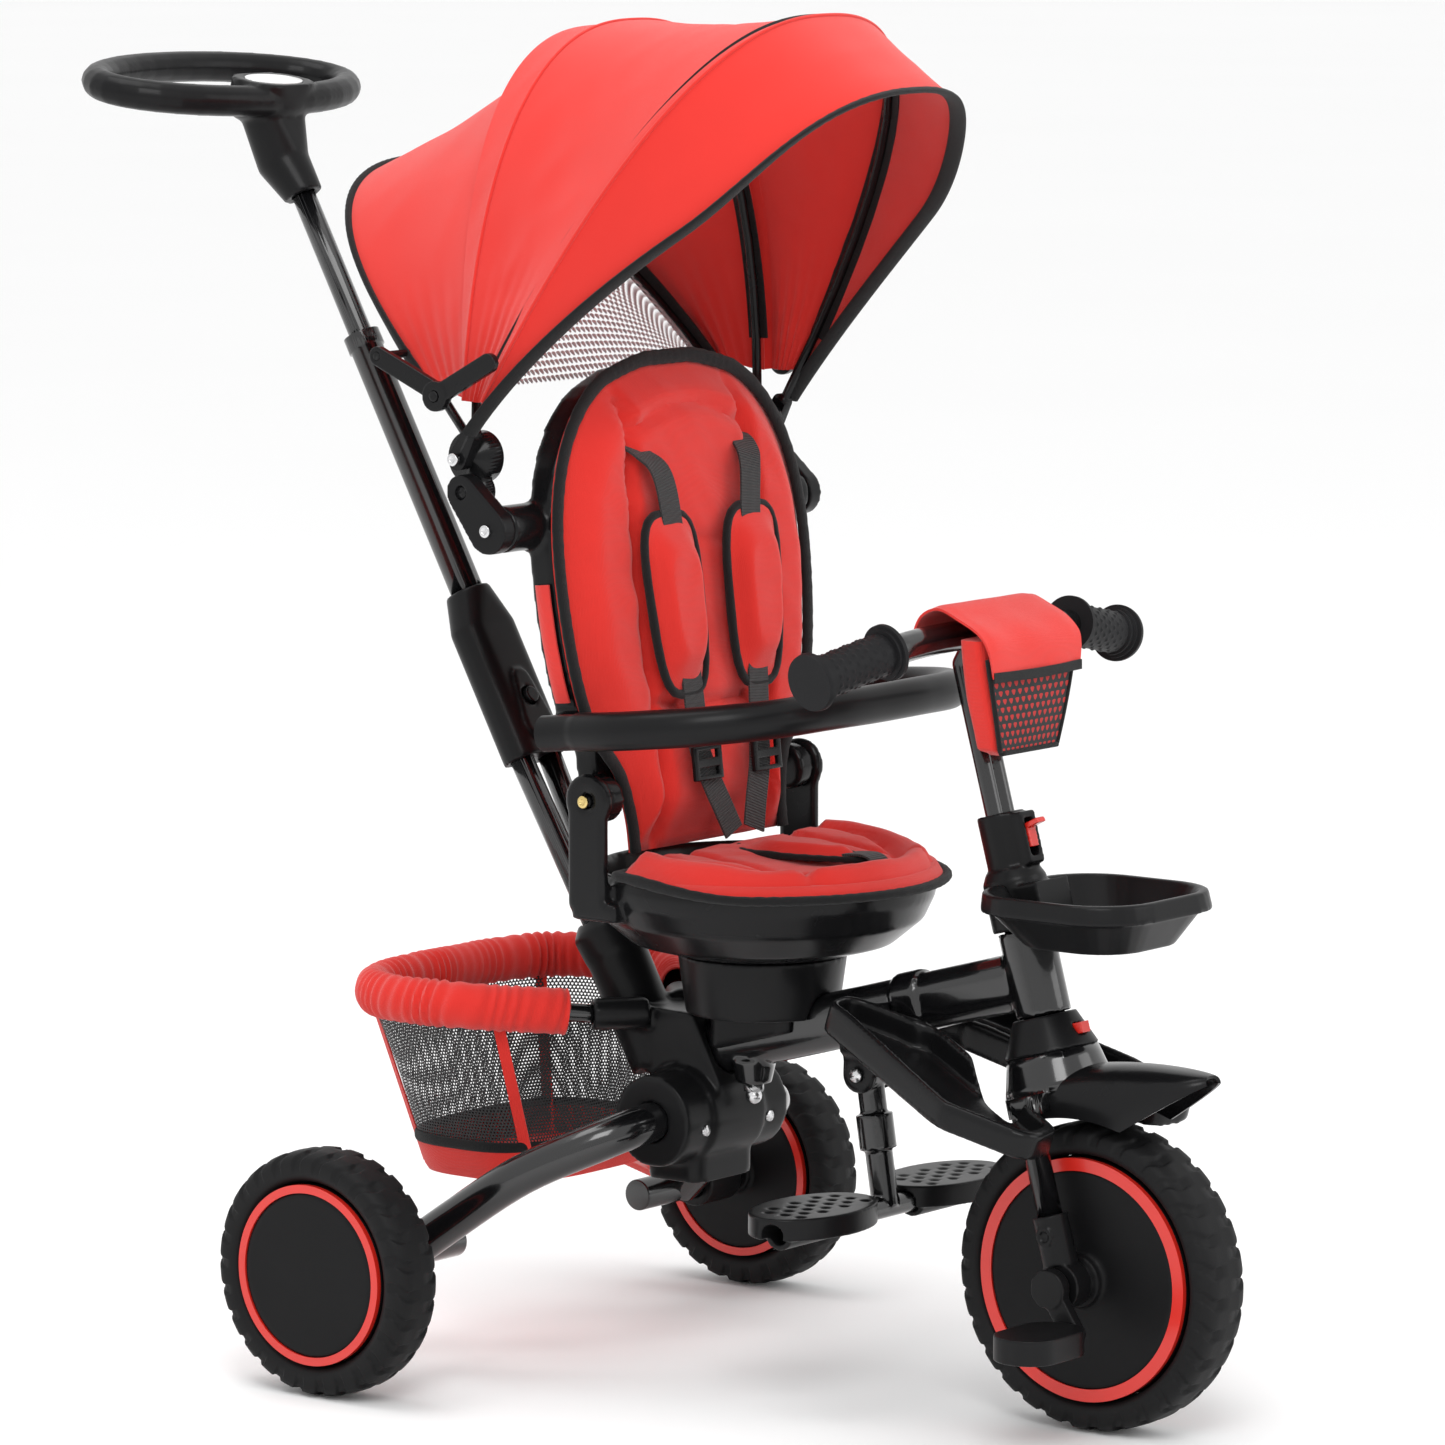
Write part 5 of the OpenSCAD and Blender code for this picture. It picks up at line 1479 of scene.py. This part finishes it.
@dataclass(frozen=True)
class BarBag:
    """Bag on the handlebar: red body and flap, net front, black edge binding."""

    middle: float = 321.8
    mouth: float = 561.0
    drop: float = 84.0
    squareness: float = 0.45

    def half_width(self, share: float) -> float:
        """Returns half the bag's width at a share of the way down."""
        return 56.5 - 21.5 * share**1.2

    def bulge(self, share: float) -> float:
        """Returns how far the bag's depth swells at a share of the way down."""
        return 1.2 * math.sin(share * math.pi)

    def body(self) -> Obj:
        """Builds the bag's body: a lofted shell that narrows and sags to the bottom."""
        shares = np.linspace(0, 1, 46)
        t = np.linspace(0, 2 * math.pi, 96, endpoint=False)
        c, q = squarish(np.cos(t), self.squareness), squarish(np.sin(t), self.squareness)
        rows = []
        for s in shares:
            z = self.mouth - self.drop * s
            half_x = 12.3 - 1.6 * s + self.bulge(s)
            close = 1 - ease(s, 0.94, 1.0) * 0.3
            ring = np.stack(
                [self.middle + half_x * c * close, self.half_width(s) * q * close, np.full_like(t, z)], 1
            )
            ring[:, 0] += 0.7 * wobble(ring, 55, 41)
            rows.append(ring)
        obj = outward(lattice("bar_bag_body", np.array(rows), ring=True, caps=True))
        soften(obj, 60)
        obj = finish_piece(obj, Palette.CLOTH, body_of("bar_bag"), ["bar_bag"])
        return obj

    def front(self) -> Obj:
        """Builds the net pocket over the bag's front."""
        z = np.linspace(549, 480, 30)
        rows = []
        for height in z:
            s = (self.mouth - height) / self.drop
            half_y = self.half_width(s) - 3
            y = np.linspace(-half_y, half_y, 40)
            belly = 1.5 * np.cos(y / half_y * math.pi / 2) * math.sin((549 - height) / 69 * math.pi)
            x = self.middle + 13.3 - 1.6 * s + self.bulge(s) + belly
            rows.append(np.stack([x, y, np.full_like(y, height)], 1))
        obj = lattice("bar_bag_net_pocket", np.array(rows))
        modify(obj, "SOLIDIFY", thickness=1.2 * MM, offset=0)
        outward(obj)
        obj = finish_piece(soften(obj, 60), Palette.POCKET, body_of("bar_bag"))
        return obj

    def flap(self) -> Obj:
        """Builds the flap that goes over the handlebar and down the front."""
        profile = flow([(276, 0, 549), (274, 0, 562), (281, 0, 577), (296, 0, 583), (314, 0, 576),
            (330, 0, 567), (338.5, 0, 556), (340.5, 0, 536)], 7)
        y = np.linspace(-57, 57, 60)
        rows = []
        for i, p in enumerate(profile):
            down = i / (len(profile) - 1)
            half = np.sign(y) * np.minimum(np.abs(y), 57 - 4 * ease(down, 0.8, 1.0))
            grid = np.stack([np.full_like(y, p[0]), half, np.full_like(y, p[2])], 1)
            bump = 0.8 * wobble(grid, 46, 44)
            grid[:, 0] += bump * (0.4 + 0.6 * down)
            grid[:, 2] += bump * (1 - down) - 1.2 * ease(np.abs(y), 46, 57)
            rows.append(grid)
        obj = lattice("bar_bag_flap", np.array(rows))
        modify(obj, "SOLIDIFY", thickness=1.8 * MM, offset=0)
        obj = finish_piece(soften(outward(obj), 60), Palette.CLOTH, body_of("bar_bag"))
        return obj

    def bindings(self) -> list[Obj]:
        """Builds the black strips along the flap's lip and the pocket's sides."""
        lip = flow([(341.4, -53, 536), (342.2, 0, 535.0), (341.4, 53, 536)], 14)
        parts = [ribbon("strip", lip, 7, 1.6, (0, 0, 1))]
        for side in (-1, 1):
            path = []
            for height in np.linspace(548, 481, 20):
                s = (self.mouth - height) / self.drop
                x = self.middle + 13.3 - 1.6 * s + self.bulge(s)
                path.append((x, side * (self.half_width(s) - 2.0), height))
            parts.append(swept("edge", np.array(path), (2.0, 2.0), 10, (1, 0, 0)))
        bottom = np.array([(334.0, y, 480.0) for y in np.linspace(-34, 34, 16)])
        parts.append(swept("edge", bottom, (2.0, 2.0), 10, (1, 0, 0)))
        return [finish_piece(outward(merge("bar_bag_bindings", *parts)), Palette.BINDING,
            body_of("bar_bag"))]


@dataclass(frozen=True)
class Canopy:
    """Folding canopy: cloth over three bows, hem binding, tapes, net window, knobs."""

    pivot: tuple[float, float, float] = (-35.0, 0.0, 678.0)
    shoulder: float = 0.82

    def row(self, angle, length, width, t: np.ndarray, power: float = 0.82) -> np.ndarray:
        """Points across the canopy.

        Args:
            angle: angle over the horizon, in degrees, one value or one for each point.
            length: reach from the pivot.
            width: half width at the pivot.
            t: the angle across, in degrees, from the right foot to the left foot.
            power: how square the shoulders of the row are; less is squarer.
        """
        a, r = np.radians(angle), np.radians(t)
        s = length * np.sin(r) ** power
        y = width * squarish(np.cos(r), self.shoulder)
        return np.stack([self.pivot[0] + s * np.cos(a), -y + 0 * s, self.pivot[2] + s * np.sin(a)], -1)

    def sheet(self, stations: list, hollow: float, seed: int, skip: Sequence[int] = ()) -> np.ndarray:
        """Rows between stations; the cloth dips between bows and wrinkles where it is pulled.

        Args:
            stations: rows of points at the bows.
            hollow: how deep the cloth dips between two bows, in millimetres.
            seed: picks the wrinkles.
            skip: spans that don't dip.

        Returns:
            The grid of points.
        """
        centre = np.array([self.pivot[0], 0, self.pivot[2]])
        rows = []
        for k in range(len(stations) - 1):
            a, b = stations[k], stations[k + 1]
            steps = 26
            for i in range(steps + (1 if k == len(stations) - 2 else 0)):
                f = i / steps
                row = a * (1 - f) + b * f
                way = row - centre
                way /= np.linalg.norm(way, axis=1, keepdims=True)
                lean = np.linspace(-1, 1, len(row))
                dip = hollow * math.sin(f * math.pi) * (1 - 0.45 * np.abs(lean) ** 3)
                tug = 1.5 * np.sin(f * math.pi) * wobble(row * np.array([1.0, 0.4, 1.0]), 70, seed)
                foot = 1.8 * np.sin(f * math.pi) * np.sin(f * 21 + seed) * ease(np.abs(lean), 0.72, 0.98)
                sink = 0.5 * np.abs(tug) if k in skip else dip + np.abs(tug) + np.abs(foot)
                rows.append(row - way * sink[:, None])
        return np.array(rows)

    def hem_row(self, t: np.ndarray) -> np.ndarray:
        """Points of the visor's hem, which curls in under the front bow at its sides."""
        r = np.radians(t)
        f = np.sin(r)
        angle = np.radians(59 - 18.5 * f**0.6 + 4.0 * ease(f, 0.7, 1.0))
        s = 376 * (0.35 * f**0.82 + 0.65 * f**1.6)
        y = (189.4 + 5 * f) * squarish(np.cos(r), self.shoulder)
        return np.stack([self.pivot[0] + s * np.cos(angle), -y, self.pivot[2] + s * np.sin(angle)], -1)

    def cloths(self) -> list[Obj]:
        """Builds the rear and the front cloth, each with its seams."""
        t = np.linspace(5, 175, 132)
        rear_rows = self.sheet(
            [self.row(132, 271.4, 166.4, t, 0.56), self.row(89, 302.4, 173.4, t)], 5.0, 51
        )
        front_rows = self.sheet(
            [self.row(94, 303.4, 176.0, t), self.row(87.5, 307.4, 181.4, t), self.row(59, 366.4, 189.4, t),
                self.hem_row(t)],
            5.0, 61, skip=(0, 2),
        )
        out = []
        for name, rows, body, node in (
            ("canopy_rear_cloth_cover", rear_rows, "canopy", "canopy_rear_cloth"),
            ("canopy_front_cloth_cover", front_rows, "canopy_front", "canopy_front_cloth"),
        ):
            obj = lattice(name, rows)
            modify(obj, "SOLIDIFY", thickness=1.3 * MM, offset=0)
            outward(obj)
            soften(obj, 60)
            out.append(finish_piece(obj, Palette.CANVAS, body, [node]))
        return out

    def trims(self) -> list[Obj]:
        """Builds the black hem binding, the seam cords over the bows and the tapes inside."""
        t = np.linspace(5, 175, 170)
        pieces = []
        hem = self.hem_row(t)
        pieces.append(("canopy_visor_binding",
            swept("h", hem, lambda f: (6.2, 2.3 + 0.15 * math.sin(f * 600)), 14,
            (0.0, 0.35, 1.0)), Palette.BINDING, "canopy_front"))
        back = self.row(132.6, 272.0, 167.0, t, 0.56)
        pieces.append(("canopy_rear_binding",
            swept("h", back, lambda f: (2.4, 4.6 + 0.15 * math.sin(f * 600)), 14,
            (-0.6, 0.02, 0.8)), Palette.BINDING, "canopy"))
        for name, row, body in (
            ("canopy_seam_middle", self.row(87.5, 308.0, 182.0, t), "canopy_front"),
            ("canopy_seam_front", self.row(59, 367.0, 190.0, t), "canopy_front"),
        ):
            pieces.append((name, swept("h", row, (1.5, 1.5), 10, (0.3, 0.05, 1.0)), Palette.CLOTH, body))
        for name, row, body, lean in (
            ("canopy_tape_middle", self.row(91, 297.8, 169.8, t[4:-4]), "canopy", 91),
            ("canopy_tape_front", self.row(59, 362.3, 186.0, t[4:-4]), "canopy_front", 59),
            ("canopy_tape_rear", self.row(131, 266.8, 161.0, t[4:-4]), "canopy", 131),
        ):
            a = math.radians(lean)
            tape = ribbon("h", row, 17, 1.2, (-math.sin(a), 0.0, math.cos(a)))
            pieces.append((name, tape, Palette.BINDING, body))
        done = []
        for name, obj, finish, body in pieces:
            named(outward(obj), name)
            soften(obj, 55)
            done.append(
                finish_piece(obj, finish, body)
            )
        return done

    def window(self) -> Obj:
        """Builds the white net window in the rear arch."""
        t = np.linspace(9, 171, 90)
        arch = self.row(132, 261.5, 155.5, t)
        sill = np.stack(
            [np.linspace(arch[0, 0], arch[-1, 0], 90), arch[:, 1], np.linspace(arch[0, 2], arch[-1, 2], 90)],
            -1
        )
        rows = np.array([sill * (1 - f) + arch * f for f in np.linspace(0.0, 1.0, 26)])
        rows[..., 0] -= 0.6 * np.sin(np.linspace(0, 1, 26) * math.pi)[:, None]
        obj = lattice("canopy_net_window", rows)
        modify(obj, "SOLIDIFY", thickness=0.8 * MM, offset=0)
        obj = finish_piece(outward(obj), Palette.WINDOW, "canopy", ["canopy_window"])
        return obj

    def screws(self) -> list[Obj]:
        """Builds the bright screws of the canopy pivots and stretchers."""
        done = []
        for side in (-1, 1):
            name = "right" if side < 0 else "left"
            for label, at, body in (
                ("pivot", (-35, side * 190.0, 678), "canopy"),
                ("arm", (-8, side * 187.0, 628), "canopy_arm"), ("recline", (36, side * 131.0, 431), "seat")
            ):
                head = named(screw(at, (0, side, 0), 4.6), f"{label}_screw_{name}")
                done.append(
                    finish_piece(head, Palette.BRASS if label == "recline" else Palette.STEEL, body)
                )
        return done


# ---------- studio ----------
class Studio:
    """Pale floor, soft lights and the camera."""

    TARGET = (0.060, 0.0, 0.477)
    CAMERA = (3.33119, -4.21719, 1.17018)
    REACH = 60000.0

    def floor(self) -> None:
        """Builds a wide pale floor that meets the white air far behind."""
        span = np.linspace(-self.REACH, self.REACH, 24)
        rows = np.array([[(u, v, -0.5) for v in span] for u in span])
        obj = lattice("studio_floor", rows)
        s = Shader("studio_paper")
        s.to("Base Color", s.tint(s.noise(0.8), (0.95, 0.95, 0.95), (0.97, 0.97, 0.97)))
        s.to("Roughness", s.spread(s.noise(3.0), 0.8, 0.95))
        s.relief(s.noise(400.0), 0.05, 0.0003)
        obj.data.materials.append(s.material)

    def lamp(self, name: str, at: Sequence[float], size: float, watts: float) -> None:
        """Hangs one soft square light, aimed at the tricycle."""
        data = bpy.data.lights.new(name, "AREA")
        data.shape = "SQUARE"
        data.size = size
        data.energy = watts
        lamp = bpy.data.objects.new(name, data)
        lamp.location = at
        lamp.rotation_euler = (Vector(self.TARGET) - Vector(at)).to_track_quat("-Z", "Y").to_euler()
        bpy.context.scene.collection.objects.link(lamp)

    def build(self) -> None:
        """Builds floor, world, lights and camera."""
        self.floor()
        world = bpy.data.worlds.new("studio_air")
        world.use_nodes = True
        world.node_tree.nodes["Background"].inputs[0].default_value = (1.0, 1.0, 1.0, 1.0)
        world.node_tree.nodes["Background"].inputs[1].default_value = 1.0
        bpy.context.scene.world = world
        self.lamp("key", (2.2, -2.6, 3.4), 1.8, 60.0)
        self.lamp("fill", (3.4, 1.6, 2.0), 2.0, 22.0)
        self.lamp("top", (-0.6, -0.4, 3.6), 1.8, 30.0)
        data = bpy.data.cameras.new("camera")
        data.lens = 183.9
        data.sensor_width = 36.0
        data.clip_end = 120.0
        camera = bpy.data.objects.new("camera", data)
        camera.location = self.CAMERA
        way = Vector(self.TARGET) - Vector(self.CAMERA)
        camera.rotation_euler = way.to_track_quat("-Z", "Y").to_euler()
        bpy.context.scene.collection.objects.link(camera)
        bpy.context.scene.camera = camera
        bpy.context.scene.view_settings.view_transform = "Standard"


def main() -> None:
    """Builds the tricycle from the ground up and logs each piece."""
    logging.basicConfig(level=logging.INFO, format="%(message)s")
    for shell in SHELLS:
        shell.build()
    for tyre in TYRES:
        tyre.build()
    Mudguard().build()
    push_button()
    tubes = Tubes()
    tubes.rear()
    tubes.bar()
    Grips().build()
    liner = Liner()
    liner.back()
    liner.seat()
    liner.cover()
    harness = Harness()
    harness.straps()
    for side in (-1, 1):
        harness.pad(side)
        harness.buckle(side)
    harness.crotch()
    GuardBar().build()
    basket = Basket()
    basket.sleeve()
    basket.net()
    basket.floor_sheet()
    basket.tapes()
    bag = BarBag()
    bag.body()
    bag.front()
    bag.flap()
    bag.bindings()
    canopy = Canopy()
    canopy.cloths()
    canopy.trims()
    canopy.window()
    canopy.screws()
    Studio().build()


if __name__ == "__main__":
    main()
